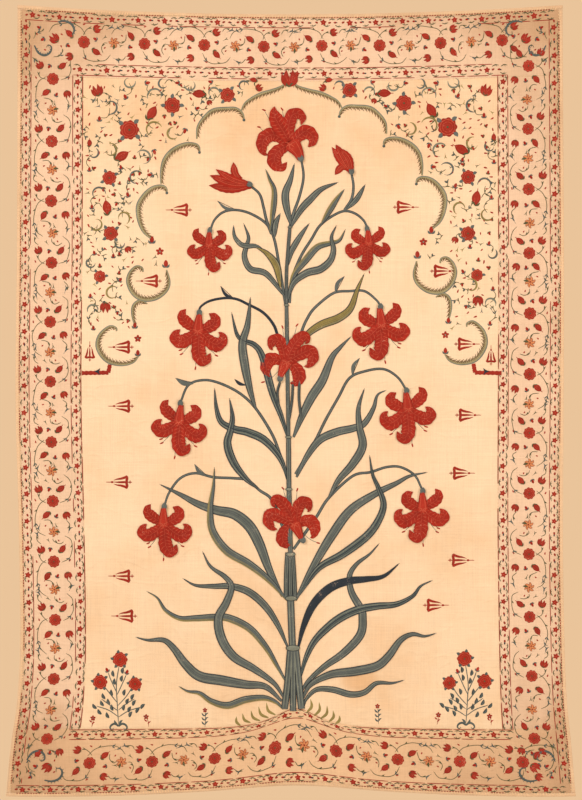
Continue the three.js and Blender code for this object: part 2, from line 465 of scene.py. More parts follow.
class Threads:
    """The stitching of one group of motifs. Each thread colour becomes one piece."""

    def __init__(self, group, seed, plan=False):
        self.group = group
        self.plan = plan
        self.random = np.random.default_rng(seed)
        self.spools = {}
        self.stand()

    def stand(self, centre=(0.0, 0.0), turn=0.0, size=1.0, mirror=1):
        """Where the next motifs go: their middle, turn in degrees, size, and mirror -1 to flip them."""
        cosine, sine = math.cos(math.radians(turn)) * size, math.sin(math.radians(turn)) * size
        self.centre = np.asarray(centre, float)
        self.turned = np.array([[cosine * mirror, -sine], [sine * mirror, cosine]])

    def add(self, thread, points, height, faces, stitch, zone):
        """Puts points and faces where the motif stands, in the spool of their thread."""
        empty = {"points": [], "height": [], "faces": [], "uv": [], "count": 0}
        spool = self.spools.setdefault(thread, empty)
        step = -1 if np.linalg.det(self.turned) < 0 else 1
        for group in faces:
            spool["faces"] += (group[:, ::step] + spool["count"]).tolist()
        spool["points"].append(points @ self.turned.T + self.centre)
        spool["height"].append(height)
        spool["uv"].append(np.column_stack([stitch, zone]))
        spool["count"] += len(points)

    def ribbon(self, thread, points, half, crown, lift, tone=0.5, step=3.0, columns=5):
        """A band along a smooth curve, fullest in its middle, with its rims in the cloth."""
        track = Track(points, half, step)
        shares = np.array(RIBBON_COLUMNS[columns], float)
        reach = np.where(shares[None, :] > 0, track.left[:, None], track.right[:, None]) * shares
        spots = track.line[:, None, :] + track.normal[:, None, :] * reach[:, :, None]
        across = np.broadcast_to(1 - np.abs(shares) ** 2.2, reach.shape)
        taper = np.clip(track.half / 1.2, 0.35, 1)[:, None]
        height = CLOTH_FRONT + lift - RIM_SINK + (crown + RIM_SINK) * across * taper
        along = np.broadcast_to(track.s[:, None], reach.shape)
        edge = np.broadcast_to(np.abs(shares), reach.shape)
        tone = tone + self.random.uniform(-0.12, 0.12)
        self.add(
            thread, spots.reshape(-1, 2), height.ravel(), [grid_faces(len(track.s), len(shares))],
            np.column_stack([along.ravel(), reach.ravel()]),
            np.column_stack([edge.ravel(), np.full(edge.size, tone)]),
        )
        return track

    def narrow(self, thread, points, half, crown, lift, step):
        """A narrow band, of three columns."""
        return self.ribbon(thread, points, half, crown, lift, step=step, columns=3)

    def line(self, thread, points, wide, lift, tone=0.5, step=2.4):
        """A single line of stitches, narrowing a little at both ends."""
        half = lambda t: wide / 2 * (0.55 + 0.45 * np.clip(np.minimum(t, 1 - t) * 8, 0, 1))
        return self.ribbon(thread, points, half, 0.5, lift, tone, step, columns=3)

    def patch(self, thread, outline, crown, lift, rings=(0.55, 0.85, 1.0)):
        """A filled shape round the middle of its outline, in rings of stitches."""
        outline = np.asarray(outline, float)
        middle = outline.mean(axis=0)
        out = outline - middle
        if np.sum(out[:-1, 0] * out[1:, 1] - out[:-1, 1] * out[1:, 0]) < 0:
            out = out[::-1]
        count = len(out)
        ring = np.arange(count)
        share = np.concatenate([[0], np.repeat(rings, count)])
        spots = middle + np.vstack([[[0, 0]], np.tile(out, (len(rings), 1))]) * share[:, None]
        height = CLOTH_FRONT + lift - RIM_SINK + (crown + RIM_SINK) * (1 - share**3)
        fan = np.column_stack([0 * ring, 1 + ring, 1 + (ring + 1) % count])
        reach = np.hypot(*(spots - middle).T)
        turn = np.concatenate([[0], np.tile(ring / count * 2 * math.pi, len(rings))])
        tone = 0.5 + self.random.uniform(-0.1, 0.1)
        self.add(
            thread, spots, height, [fan, grid_faces(len(rings), count, 1, wrap=True)],
            np.column_stack([turn * reach, reach]),
            np.column_stack([share, np.full(len(share), tone)]),
        )

    def sew(self):
        """Makes one piece from each thread that was used."""
        for thread, spool in self.spools.items():
            spots = np.vstack(spool["points"])
            x, z = hanging_point(spots[:, 0], -spots[:, 1]) if self.plan else spots.T
            material, slot = silk(thread)
            points = place(x, z, np.concatenate(spool["height"]))
            mesh = new_piece(self.group + "_" + thread, points, spool["faces"], material, slot).data
            corner = np.zeros(len(mesh.loops), np.int32)
            mesh.loops.foreach_get("vertex_index", corner)
            values = np.vstack(spool["uv"])[corner]
            for layer, columns in (("stitch", values[:, :2]), ("zone", values[:, 2:])):
                made = mesh.uv_layers.new(name=layer)
                made.data.foreach_set("uv", np.ascontiguousarray(columns, np.float32).ravel())


def circle(radius, count, squash=1.0, waves=0, wave=0.0):
    """A round outline, with scallops if waves are given."""
    angle = np.arange(count) / count * 2 * math.pi
    reach = radius * (1 + wave * (np.abs(np.cos(angle * waves / 2)) - 0.6)) if waves else radius
    return np.column_stack([np.cos(angle) * reach, np.sin(angle) * reach * squash])


def curl(radius, start, turns, count=16):
    """A spiral that starts on its circle at an angle in degrees and winds in."""
    t = np.linspace(0, 1, count)
    angle = math.radians(start) + t * turns * 2 * math.pi
    reach = radius * (1 - CURL_INWARD * t)
    return np.column_stack([np.cos(angle) * reach, np.sin(angle) * reach])


def leaf_half(wide, base=0.4, widest=0.42):
    """Half width of a leaf: narrow at its base, full at a third and pointed at its tip."""
    def half(t):
        rise = base + (1 - base) * np.sin(np.clip(t / widest, 0, 1) * math.pi / 2)
        fall = (1 - np.clip((t - widest) / (1 - widest), 0, 1) ** 1.7) ** 1.1
        return wide / 2 * rise * fall + 0.25
    return half


def petal_half(wide, frill=0.0):
    """Half width of a petal: widest past its middle, then drawn in to a hooked point."""
    def half(t):
        rise = 0.58 + 0.42 * np.sin(np.clip(t / 0.5, 0, 1) * math.pi / 2) ** 1.4
        fall = 1 - np.clip((t - 0.55) / 0.45, 0, 1) ** 1.9
        return wide / 2 * rise * fall * (1 + frill * np.sin(t * 46)) + 0.25
    return half


# Finishes

WEAVE_PITCH = 0.9


def cotton_finish(name, clean, aged, aged_and_shaded_share, streak=0.11):
    """Matt plain weave: slubs both ways, a soft weave bump, and aged patches; the darkened share that it is
    given may also carry painted shade.
    """
    finish = Finish(name, Roughness=0.86, Specular_IOR_Level=0.25)
    spot = finish.place()
    x, _, z = finish.parts(spot)
    level = finish.noise(spot, 1.3, (46, 1, 1))
    upright = finish.noise(spot, 1.3, (1, 1, 52))
    broad = finish.noise(spot, 120, detail=3.0)
    blotch = finish.noise(spot, 34, detail=4.0)
    # Darkened share: the given share plus random aged patches; for the field the given share also holds
    # painted shade near the top
    ageing_and_shade = aged_and_shaded_share(x, z) + (broad - 0.5) * 0.5 + (blotch - 0.5) * 0.25
    ageing_and_shade = ageing_and_shade.between(0.0, 1.0)
    colour = finish.mix(ageing_and_shade, clean, aged)
    shade = 1 + (level - 0.5) * streak + (upright - 0.5) * streak + (blotch - 0.5) * 0.05
    colour = finish.mix(1.0, colour, finish.grey(shade), "MULTIPLY")
    finish.feed("Base Color", colour)
    over, under = ((each * (math.pi / WEAVE_PITCH)).sine() for each in (x, z))
    crumple = (1 - abs(finish.noise(spot, 42, (1.5, 1, 1), detail=1.0) - 0.5) * 4).between(0.6, 1.0)
    finish.bump(over * under * 0.5 + level * 0.7 + upright * 0.7 + crumple * 1.6, 0.35, 0.7)
    return finish.material


# The threads of each slot. A thread has the name of its colour
SLOTS = {
    "red_silk": ("red", "rim", "crimson", "pink", "madder", "brick"),
    "green_silk": ("green", "sage", "reed", "dark", "olive", "vine"),
    "blue_silk": ("navy", "slate"),
    "gold_silk": ("amber", "brown"),
    "edging_cotton": ("cream",),
}


def silk(thread):
    """The finish of one thread, made once, and its slot: rows of chain stitch with a low sheen, and painted
    shade in the dips between rows and links.
    """
    name = thread + "_silk"
    slot = next(slot for slot, threads in SLOTS.items() if thread in threads)
    if name in bpy.data.materials:
        return bpy.data.materials[name], slot
    colour = getattr(bpy.context.scene.hanging_colours, thread)
    finish = Finish(name, Roughness=0.62, Specular_IOR_Level=0.2, Sheen_Weight=0.05)
    stitch = finish.node("ShaderNodeUVMap", {"uv_map": "stitch"})
    zone = finish.node("ShaderNodeUVMap", {"uv_map": "zone"})
    along, across, _ = finish.parts(stitch)
    edge, tone, _ = finish.parts(zone)
    row = across / ROW_PITCH
    ridge = abs((row * math.pi).sine())
    link = abs(((along / LINK_LONG + row.floor() * 0.5) * math.pi).sine())
    height = ridge * 0.65 + ridge * link * 0.35
    spot = finish.place()
    patchy = finish.noise(spot, 16, detail=3.0)
    fine = finish.noise(spot, 1.6)
    # Painted shade: the thread colour darkens where the stitch relief dips between rows and links; tone,
    # patches and fine noise are random
    shade = 0.80 + height * 0.22 + (tone - 0.5) * 0.55 + (patchy - 0.5) * 0.28 + (fine - 0.5) * 0.25
    shade = shade - edge.between(0.7, 1.0) * 0.06
    shaded = finish.mix(1.0, colour, finish.grey(shade), "MULTIPLY")
    bare = bpy.context.scene.hanging_colours.border
    worn = (fine * 0.6 + patchy * 0.4).between(0.70, 0.86) * 0.35
    finish.feed("Base Color", finish.mix(worn, shaded, bare))
    finish.bump(height + fine * 0.3, 0.4, 0.8)
    return finish.material, slot


def plain(colour):
    """A colour for a property default: sRGB from 0 to 255, as linear values."""
    return tuple(((c / 255 + 0.055) / 1.055) ** 2.4 for c in colour)


def colour_property(name, description, srgb):
    return bpy.props.FloatVectorProperty(
        name=name, description=description, default=plain(srgb), subtype="COLOR", min=0, max=1
    )


class HangingColours(bpy.types.PropertyGroup):
    """Cloth and silk colours of the hanging"""

    field: colour_property("Field", "Clean cotton of the field", (236, 218, 192))
    # The darkened field colour, used for the aged patches and for the painted shade near the top of the
    # field
    field_aged_and_shaded: colour_property("Field, aged", "Cotton of the field where it has darkened", (218, 184, 146))
    border: colour_property("Border", "Cotton of the border strips", (226, 202, 180))
    border_aged: colour_property("Border, aged", "Border cotton at the corners and edges", (188, 157, 127))
    hem: colour_property("Hem", "Cotton of the bottom strip", (220, 190, 158))
    edging: colour_property("Edging", "Rolled cotton edging", (222, 196, 166))
    red: colour_property("Bloom red", "Silk of the large petals", (164, 38, 22))
    rim: colour_property("Tube red", "Silk of the blooms' tubes", (172, 48, 32))
    crimson: colour_property("Crimson", "Dark red in the middle of the petals", (154, 36, 22))
    pink: colour_property("Pink", "Veins and rings of the red flowers", (200, 92, 70))
    madder: colour_property("Madder", "Red of the border flowers", (158, 44, 30))
    brick: colour_property("Brick", "Browner red of the narrow bands", (150, 54, 38))
    green: colour_property("Leaf green", "Grey green of leaves and stem", (96, 108, 110))
    reed: colour_property("Reed", "Pale green of the arch", (162, 158, 126))
    sage: colour_property("Sage", "Lighter grey green", (128, 138, 130))
    dark: colour_property("Leaf lines", "Dark outlines of leaves and stem", (46, 56, 64))
    olive: colour_property("Olive", "Yellowish green of vines and rows", (146, 136, 84))
    navy: colour_property("Navy", "Darkest blue", (40, 52, 66))
    slate: colour_property("Slate", "Blue grey of some leaves and lines", (82, 96, 98))
    vine: colour_property("Vine", "Dark olive green of the vines", (84, 88, 60))
    amber: colour_property("Amber", "Golden orange of fruits and lilies", (210, 142, 96))
    brown: colour_property("Brown", "Teeth of the arch", (112, 90, 62))
    cream: colour_property("Cream", "Overcast stitches of the edging", (240, 208, 164))
    backdrop: colour_property("Surroundings", "Plain colour round the hanging", (234, 196, 154))


class HangingSizes(bpy.types.PropertyGroup):
    """Sizes of the hanging's looks"""

    cell: bpy.props.FloatProperty(
        name="Cloth facets", description="Side of one facet of the cloth", default=5 * MM, unit="LENGTH"
    )
    view_height: bpy.props.FloatProperty(
        name="View height", description="Height that the picture takes in", default=1.36, unit="LENGTH"
    )
    camera_away: bpy.props.FloatProperty(
        name="Camera distance", description="From the hanging to the camera", default=3.2, unit="LENGTH"
    )


class HANGING_OT_cloth(bpy.types.Operator):
    """Sew the five pieces of cotton"""

    bl_idname = "hanging.cloth"
    bl_label = "Cloth"

    def execute(self, context):
        colours = context.scene.hanging_colours
        cell = context.scene.hanging_sizes.cell / MM
        inner = HALF_WIDTH - EDGING_WIDE
        half = FIELD_HALF_WIDTH

        # Darkening of the field: a real stain near the foot, darker towards the bottom, and painted shade
        # over the top 430 mm, where the lamps light the cloth more
        def field_stain_and_shade(x, z):
            stain = 0.5 * (1 - (((x - 119) / 40) ** 2 + ((z + 1130) / 26) ** 2)).between(0, 1)
            return 0.08 + (0 - z) * (0.3 / FIELD_BOTTOM) + z.between(-430, -130) * 0.4 + stain

        def border_ageing(x, z):
            side = abs(x).between(425, 470) * 0.3
            top = z.between(-60, -20) * 0.12
            return 0.12 + side + top + (abs(x) * 0.001 + abs(z + 660) * 0.0012).between(0.85, 1.3) * 0.75

        field = cotton_finish("field_weave", colours.field, colours.field_aged_and_shaded, field_stain_and_shade)
        strip = cotton_finish("border_weave", colours.border, colours.border_aged, border_ageing)
        hem = cotton_finish("hem_weave", colours.hem, colours.border_aged, border_ageing)
        pieces = [
            ("field", (-half, half, TOP_STRIP_DEEP, FIELD_BOTTOM), field, "field_cotton"),
            ("border_top", (-inner, inner, EDGING_WIDE, TOP_STRIP_DEEP), strip, "border_cotton"),
            ("border_left", (-inner, -half, TOP_STRIP_DEEP, FIELD_BOTTOM), strip, "border_cotton"),
            ("border_right", (half, inner, TOP_STRIP_DEEP, FIELD_BOTTOM), strip, "border_cotton"),
            ("border_bottom", (-inner, inner, FIELD_BOTTOM, LENGTH - EDGING_WIDE), hem, "hem_cotton"),
        ]
        for node, box, material, slot in pieces:
            piece = cloth_sheet(node + "_cloth", box, cell, material, slot)
            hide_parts(node)
            (box[1] - box[0]) * MM
            (box[3] - box[2]) * MM
        return {"FINISHED"}


class HANGING_OT_edging(bpy.types.Operator):
    """Roll the narrow edging, pinched where its overcast stitches go"""

    bl_idname = "hanging.edging"
    bl_label = "Edging"

    def execute(self, context):
        colours = context.scene.hanging_colours
        finish = cotton_finish(
            "edging_weave", colours.edging, colours.border_aged, lambda x, z: abs(z + 660) * 0.0006, 0.16
        )
        mid = EDGING_WIDE / 2
        side, foot = HALF_WIDTH - mid, LENGTH - mid
        head, tail = EDGING_WIDE + PARTING / 2, LENGTH - EDGING_WIDE - PARTING / 2
        pieces = [
            ("edging_top", (-HALF_WIDTH, mid), (HALF_WIDTH, mid)),
            ("edging_bottom", (-HALF_WIDTH, foot), (HALF_WIDTH, foot)),
            ("edging_left", (-side, head), (-side, tail)),
            ("edging_right", (side, head), (side, tail)),
        ]
        for seed, (node, start, end) in enumerate(pieces):
            piece = rolled_edge(node + "_roll", start, end, finish, "edging_cotton", seed)
            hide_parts(node)
            long = max(abs(end[0] - start[0]), abs(end[1] - start[1])) * MM
        return {"FINISHED"}


# The flowering plant. Leaves: base, middle points and tip in squares, width in mm, and their rows
LEAVES = [
    ([(0.2, 21.2), (-0.3, 19.3), (-0.4, 17.9), (0.1, 16.5), (0.5, 14.9)], 12, "plain"),
    ([(0.05, 21.4), (1.1, 19.6), (2.1, 18.5), (3.2, 17.5), (4.9, 16.8)], 11, "plain"),
    ([(-1.9, 21.7), (-1.5, 18.0), (-2.0, 16.5), (-2.4, 15.5)], 8.5, "olive"),
    ([(-1.5, 22.3), (-1.4, 21.0), (-0.9, 19.9)], 9, "plain"),
    ([(-0.2, 25.2), (0.2, 23.7), (1.2, 22.0), (2.0, 20.9)], 9, "plain"),
    ([(3.2, 21.0), (4.6, 18.7), (5.5, 17.5)], 9, "olive"),
    ([(5.7, 19.5), (6.7, 18.5), (7.6, 17.0)], 8, "plain"),
    ([(-2.6, 23.6), (-3.4, 23.2), (-4.2, 23.2), (-4.9, 23.0), (-5.5, 22.2), (-5.6, 21.1)], 7.5, "plain"),
    ([(-0.9, 27.3), (-1.3, 25.2), (-2.3, 23.9), (-3.4, 23.3)], 12, "all_olive"),
    ([(-0.5, 28.2), (-2.3, 26.0), (-3.9, 25.5), (-4.5, 24.3), (-4.3, 23.2), (-4.1, 22.3),
      (-4.6, 20.9)], 10, "plain"),
    ([(0.0, 27.5), (0.5, 26.0), (1.7, 24.5), (2.8, 23.3), (4.1, 22.9), (5.0, 22.6),
      (5.6, 21.5)], 11, "olive"),
    ([(-0.2, 28.6), (0.4, 26.9), (1.7, 25.9), (3.1, 25.5), (4.1, 24.6), (4.4, 23.5), (4.2, 22.3),
      (4.7, 21.1)], 12, "plain"),
    ([(0.4, 33.6), (1.7, 32.1), (3.1, 31.1), (4.9, 30.4), (6.1, 29.4), (6.8, 27.5),
      (7.5, 25.9)], 13.5, "all_olive"),
    ([(-0.2, 42.3), (-0.8, 40.3), (-1.7, 37.9), (-2.7, 34.3), (-3.5, 33.1), (-4.7, 32.6), (-5.3, 31.9),
      (-5.8, 29.8)], 11.5, "navy"),
    ([(-3.4, 39.4), (-4.0, 37.4), (-4.5, 34.9), (-4.7, 32.9), (-4.2, 31.1), (-3.9, 28.3)], 14, "plain"),
    ([(0.4, 42.3), (1.2, 40.3), (2.2, 38.3), (3.3, 36.6), (4.2, 34.4), (5.0, 33.4),
      (6.2, 32.2)], 15, "plain"),
    ([(-0.2, 46.3), (-1.0, 44.3), (-2.5, 42.6), (-4.2, 41.8), (-5.5, 41.5), (-6.8, 40.8), (-7.3, 39.4),
      (-7.5, 37.4)], 13, "navy"),
    ([(-3.2, 47.4), (-4.4, 46.4), (-5.6, 44.8), (-6.2, 43.0), (-5.9, 41.6), (-5.7, 40.3),
      (-6.0, 38.4)], 13, "navy"),
    ([(0.7, 46.3), (1.7, 44.3), (3.0, 42.6), (4.7, 41.8), (6.4, 41.4), (7.5, 40.9), (8.4, 39.4),
      (8.8, 38.1), (9.7, 37.6)], 13, "plain"),
    ([(3.9, 48.4), (4.9, 46.6), (6.3, 45.0), (7.3, 43.2), (7.0, 41.3), (6.9, 39.4),
      (7.5, 37.4)], 13.5, "plain"),
    ([(-0.2, 58.6), (-2.0, 56.6), (-4.0, 55.0), (-6.3, 53.6), (-7.7, 51.6), (-7.9, 49.4), (-7.6, 47.2),
      (-7.5, 45.3)], 13.5, "olive"),
    ([(-0.7, 58.2), (-2.0, 55.6), (-3.0, 53.0), (-4.0, 51.2), (-5.5, 50.0), (-7.3, 49.6), (-9.1, 49.0),
      (-11.0, 48.0), (-13.0, 47.0)], 18, "plain"),
    ([(0.6, 58.6), (2.5, 55.0), (4.3, 52.0), (6.1, 49.6), (8.5, 48.0), (10.7, 46.9), (12.0, 46.2),
      (13.8, 45.8)], 15, "plain"),
    ([(1.0, 58.0), (2.9, 55.4), (5.3, 54.0), (7.7, 52.2), (8.9, 50.6), (9.4, 49.0), (8.9, 47.4),
      (8.3, 46.0), (8.0, 44.1)], 13.5, "navy"),
    ([(-0.2, 63.2), (-1.2, 61.0), (-2.4, 59.2), (-4.0, 57.8), (-5.8, 57.2), (-7.6, 57.2), (-9.4, 57.1),
      (-10.7, 56.4)], 12, "plain"),
    ([(0.9, 63.2), (1.4, 61.2), (2.4, 59.0), (4.0, 57.4), (5.8, 56.7), (7.6, 56.5), (9.4, 56.2),
      (11.0, 54.9)], 14, "all_navy"),
    ([(-0.6, 68.2), (-1.6, 66.8), (-3.6, 65.4), (-5.6, 64.2), (-6.8, 62.4), (-7.1, 60.4), (-6.3, 58.8),
      (-5.8, 57.2), (-6.5, 56.2), (-7.9, 55.2), (-8.7, 53.7)], 15, "plain"),
    ([(-0.4, 66.6), (-1.2, 65.2), (-2.4, 63.2), (-4.0, 61.4), (-6.0, 60.4), (-7.4, 60.3), (-9.4, 60.4),
      (-11.0, 60.4), (-12.4, 59.6), (-13.2, 58.4), (-14.3, 57.7)], 12, "olive"),
    ([(-0.8, 68.6), (-2.4, 67.2), (-4.4, 67.0), (-6.8, 66.6), (-9.0, 66.2), (-10.4, 65.0), (-11.6, 63.4),
      (-12.6, 62.6), (-14.2, 62.6), (-15.4, 62.3)], 17, "plain"),
    ([(-0.6, 69.4), (-1.4, 68.7), (-2.6, 68.3), (-4.4, 68.5), (-6.2, 69.1), (-7.8, 68.7), (-9.0, 67.9),
      (-10.2, 67.7), (-11.1, 67.2)], 11, "olive"),
    ([(1.1, 67.8), (1.9, 66.6), (3.5, 65.2), (5.5, 63.8), (7.1, 62.0), (7.3, 60.2), (7.1, 59.4),
      (6.2, 57.8), (6.0, 56.2), (6.7, 55.0), (8.0, 54.0), (9.0, 52.9)], 13.5, "plain"),
    ([(1.1, 66.2), (1.7, 64.2), (2.7, 62.4), (4.7, 60.6), (6.7, 59.6), (8.7, 59.2), (10.7, 59.0),
      (12.3, 58.2), (13.1, 57.2), (14.3, 56.6)], 13.5, "navy"),
    ([(1.3, 68.4), (2.1, 67.0), (4.1, 66.0), (6.5, 65.7), (8.7, 65.2), (9.9, 64.2), (11.1, 62.6),
      (12.3, 62.0), (13.5, 62.2), (14.7, 61.9)], 15, "plain"),
    ([(1.4, 69.2), (1.7, 68.4), (2.7, 67.5), (4.3, 67.5), (6.1, 68.0), (7.5, 67.8), (8.7, 66.9),
      (10.3, 66.9), (11.5, 66.6)], 10, "plain"),
]
# Stalks that carry the blooms, in squares
STALKS = [
    [(-0.4, 29.0), (-0.9, 26.0), (-1.5, 22.6), (-2.3, 21.0), (-3.8, 20.0), (-5.3, 19.6), (-6.6, 19.8),
     (-7.5, 20.6), (-7.9, 21.6)],
    [(0, 28.9), (0.2, 26.7), (1.1, 24.3), (2.2, 22.5), (3.0, 21.2), (4.1, 20.3), (5.4, 19.7), (6.5, 19.9),
     (7.4, 20.6), (7.8, 21.4)],
    [(-1.8, 22.0), (-2.3, 20.6), (-2.6, 19.3), (-3.0, 18.0), (-4.0, 17.1)],
    [(5.5, 19.6), (6.2, 18.5), (6.4, 17.2), (6.2, 15.9)],
    [(0.05, 21.2), (0.4, 19.9), (1.0, 18.2), (1.4, 16.3), (1.2, 14.6)],
    [(-0.3, 35.5), (-1.2, 32.1), (-1.7, 30.9), (-2.7, 29.8), (-4.2, 29.0), (-5.3, 28.5), (-6.5, 28.4),
     (-8.0, 28.7), (-8.9, 29.3), (-9.0, 29.9)],
    [(0.3, 35), (1.2, 31.8), (1.8, 30.4), (2.6, 29.3), (4.4, 27.9), (6.0, 27.7), (7.5, 27.7), (8.7, 28.6),
     (9.1, 29.2)],
    [(-0.2, 46.5), (-1.0, 43.9), (-1.8, 41.9), (-3.4, 39.4), (-5.0, 37.9), (-7.0, 36.9), (-8.6, 36.6),
     (-10.1, 37.1), (-10.9, 38.8)],
    [(0.6, 46.0), (2.5, 42.8), (3.6, 40.6), (4.9, 38.3), (6.0, 36.4), (7.6, 35.7), (9.4, 35.5),
     (10.8, 36.3), (11.7, 37.6)],
    [(-0.3, 52.5), (-1.6, 48.8), (-3.0, 47.6), (-4.2, 46.6), (-5.6, 46.4), (-7.6, 46.3), (-9.4, 45.9),
     (-10.9, 46.4), (-12.0, 47.8), (-12.5, 49.1)],
    [(0.4, 53.5), (2.6, 50.4), (3.9, 48.4), (6.3, 46.2), (8.1, 45.8), (9.7, 45.3), (11.1, 45.3),
     (12.5, 46.1), (13.2, 47.4)],
]
STALK_WIDE = 4.0
NAVY_STALK = 5
# Short bracts on the stalks: base, tip, width in mm, thread
BRACTS = [
    ((-5.3, 19.6), (-7.2, 18.7), 5, "green"), ((-5.5, 28.5), (-6.9, 27.2), 5, "navy"),
    ((4.6, 27.9), (5.5, 26.2), 6, "green"), ((-9.6, 36.9), (-11.4, 36.4), 8, "green"),
    ((6.3, 36.1), (7.0, 34.4), 6, "green"), ((-8.2, 46.2), (-9.5, 45.0), 6, "green"),
    ((-4.4, 37.1), (-5.5, 36.5), 4.5, "navy"),
]
# Three short stalks under the upper facing bloom, then the main stem from the ground up: course and width
STEMS = [
    ([(0.35, 36.7), (0.25, 38.6), (-0.05, 40.6)], 3.2), ([(1.0, 36.6), (0.95, 38.4), (1.15, 40.3)], 3.4),
    ([(-0.95, 36.8), (-1.2, 37.8), (-1.1, 39.0)], 3.0),
    ([(-0.5, 69.4), (-0.15, 66.5), (0.1, 63.4)], 11), ([(1.2, 69.4), (0.9, 66.5), (0.6, 63.4)], 11),
    ([(0.35, 69.6), (0.35, 66.5), (0.35, 63.4)], 10), ([(0.3, 63.6), (0.2, 61.0), (0.1, 58.4)], 11),
    ([(-0.35, 58.3), (-0.32, 56.0), (-0.2, 53.8)], 6.5), ([(0.55, 58.3), (0.45, 56.0), (0.3, 53.8)], 6.5),
    ([(0.1, 58.3), (0.08, 56.0), (0.05, 53.8)], 6.5), ([(0.1, 53.9), (0.0, 50.6), (-0.05, 47.4)], 7.5),
    ([(-0.05, 47.6), (-0.08, 45.0), (-0.1, 42.2)], 7), ([(-0.1, 42.4), (-0.2, 36.0), (-0.3, 29.1)], 5.4),
    ([(-0.3, 29.2), (-0.3, 26.0), (-0.15, 23.7), (0.05, 21.2)], 4.6),
]
# Nodes of the stem: place in squares and width in mm
STEM_NODES = [
    (0.35, 63.35, 24), (0.15, 58.4, 20), (0.1, 54.0, 17), (-0.05, 47.5, 12), (-0.1, 42.3, 11),
    (-0.2, 35.2, 8), (-0.3, 29.1, 9), (0.05, 21.3, 8),
]
# Grass beside the stem: base and tip in squares
GRASS = [
    ((1.75, 69.75), (2.1, 68.45)), ((2.45, 70.1), (2.95, 68.75)), ((3.1, 70.4), (3.75, 69.1)),
    ((3.95, 70.7), (4.35, 69.6)), ((4.6, 70.9), (5.0, 70.1)), ((-1.4, 70.0), (-2.3, 68.8)),
    ((-2.1, 70.3), (-3.1, 69.2)), ((-2.95, 70.6), (-3.85, 69.6)), ((-3.9, 70.8), (-4.7, 69.9)),
    ((-4.9, 71.1), (-5.3, 70.2)),
]


def stitch_leaf(threads, points, wide, rows, lift):
    """A leaf: filled body, dark outline and midrib, and a lighter row along one side."""
    body = {"all_navy": "navy", "navy": "slate", "all_olive": "olive"}.get(rows, "green")
    deep = "navy" if rows == "navy" else "dark"
    track = threads.ribbon(body, squares(points), leaf_half(wide, 0.2, 0.45), 0.55, lift)
    for share in (1, -1):
        edge = "olive" if rows == "olive" and share == 1 else deep
        threads.line(edge, track.beside(share * 0.94, 0.0, 0.995), 1.4, lift + 0.3)
    if rows != "all_navy":
        light = "olive" if rows in ("olive", "all_olive") else "sage"
        threads.line(light, track.beside(0.5, 0.06, 0.85), 1.5, lift + 0.42)
        threads.line("sage", track.beside(-0.6, 0.1, 0.7), 1.1, lift + 0.4)
    threads.line(deep, track.beside(0.03, 0.04, 0.9), 2.2 if rows == "navy" else 1.2, lift + 0.5)
    threads.line(deep, track.beside(-0.34, 0.08, 0.6), 0.8, lift + 0.5)


def short_leaf(threads, thread, base, tip, wide, lift=0.2, bow=0.14):
    """A small leaf from base to tip, in millimetres, bowed a little to one side."""
    base, tip = np.asarray(base, float), np.asarray(tip, float)
    course = straight(base, tip, left_of(tip - base) * bow)
    threads.narrow(thread, course, leaf_half(wide, 0.3, 0.45), 0.5, lift, 1.8)


class HANGING_OT_plant(bpy.types.Operator):
    """Stitch the stem, stalks and leaves of the plant"""

    bl_idname = "hanging.plant"
    bl_label = "Plant"

    def execute(self, context):
        threads = Threads("plant", 11)
        for k, points in enumerate(STALKS):
            lift = 0.1 * (k % 3)
            thread = "navy" if k == NAVY_STALK else "green"
            half = lambda t: STALK_WIDE / 2 * (1.2 - 0.4 * t)
            track = threads.ribbon(thread, squares(points), half, 0.5, lift)
            for share in (1, -1):
                threads.line("dark", track.beside(share * 0.9), 1.2, lift + 0.22, tone=0.6)
        for k, (points, wide, rows) in enumerate(LEAVES):
            stitch_leaf(threads, points, wide, rows, 0.35 + 0.3 * (k % 3))
        for points, wide in STEMS:
            track = threads.ribbon("green", squares(points), wide / 2, 0.7, 1.2)
            threads.line("sage", track.beside(0.45), wide * 0.2, 1.7)
            threads.line("sage", track.beside(-0.5), wide * 0.16, 1.7)
            for share in (0.95, -0.95, 0.05):
                threads.line("dark", track.beside(share), 1.5, 1.5 if abs(share) > 0.5 else 1.8)
        for x, down, wide in STEM_NODES:
            threads.stand(squares((x, down))[0])
            threads.patch("sage", circle(wide / 2, 18, 0.42), 0.8, 1.9)
            threads.line("dark", circle(wide / 2, 19, 0.42), 1.2, 2.1)
        threads.stand()
        for base, tip, wide, thread in BRACTS:
            base, tip = squares([base, tip])
            short_leaf(threads, thread, base, tip, wide, 0.4)
            threads.line("dark", straight(base, tip), 0.9, 0.8)
        for base, tip in GRASS:
            base, tip = squares([base, tip])
            short_leaf(threads, "olive", base, tip, 4.6, bow=0.22 if tip[0] < 0 else -0.22)
        threads.sew()
        return {"FINISHED"}


# Blooms: each petal's course in squares from the bloom's heart, down being positive, and its width in mm.
# The first row of an open bloom is its tube
HANGING_PETALS = [
    ([(0.15, -1.75), (0.05, -0.8), (0, 0.35)], 23),
    ([(-0.05, -0.1), (-0.8, -0.6), (-1.4, -1.15), (-1.55, -1.7), (-1.2, -2.2)], 17),
    ([(0.2, -0.1), (1.1, -0.4), (1.65, -0.85), (1.6, -1.4), (1.1, -1.75)], 18),
    ([(-0.1, 0.1), (-0.9, 0.7), (-1.65, 1.05), (-2.25, 0.7), (-2.1, 0.15), (-1.75, -0.15)], 20),
    ([(0.2, 0.1), (1.2, 1.05), (1.9, 1.35), (2.45, 0.9), (2.4, 0.4), (2.05, 0.1)], 20),
    ([(0.1, 0.1), (0.05, 1.4), (0.1, 2.3), (0.45, 2.9), (0.95, 2.8), (1.25, 2.2)], 21),
]
HANGING_STAMENS = [(-1.75, 1.9), (-1.65, 2.3), (1.75, 2.05), (1.85, 2.45), (-0.25, 3.7)]
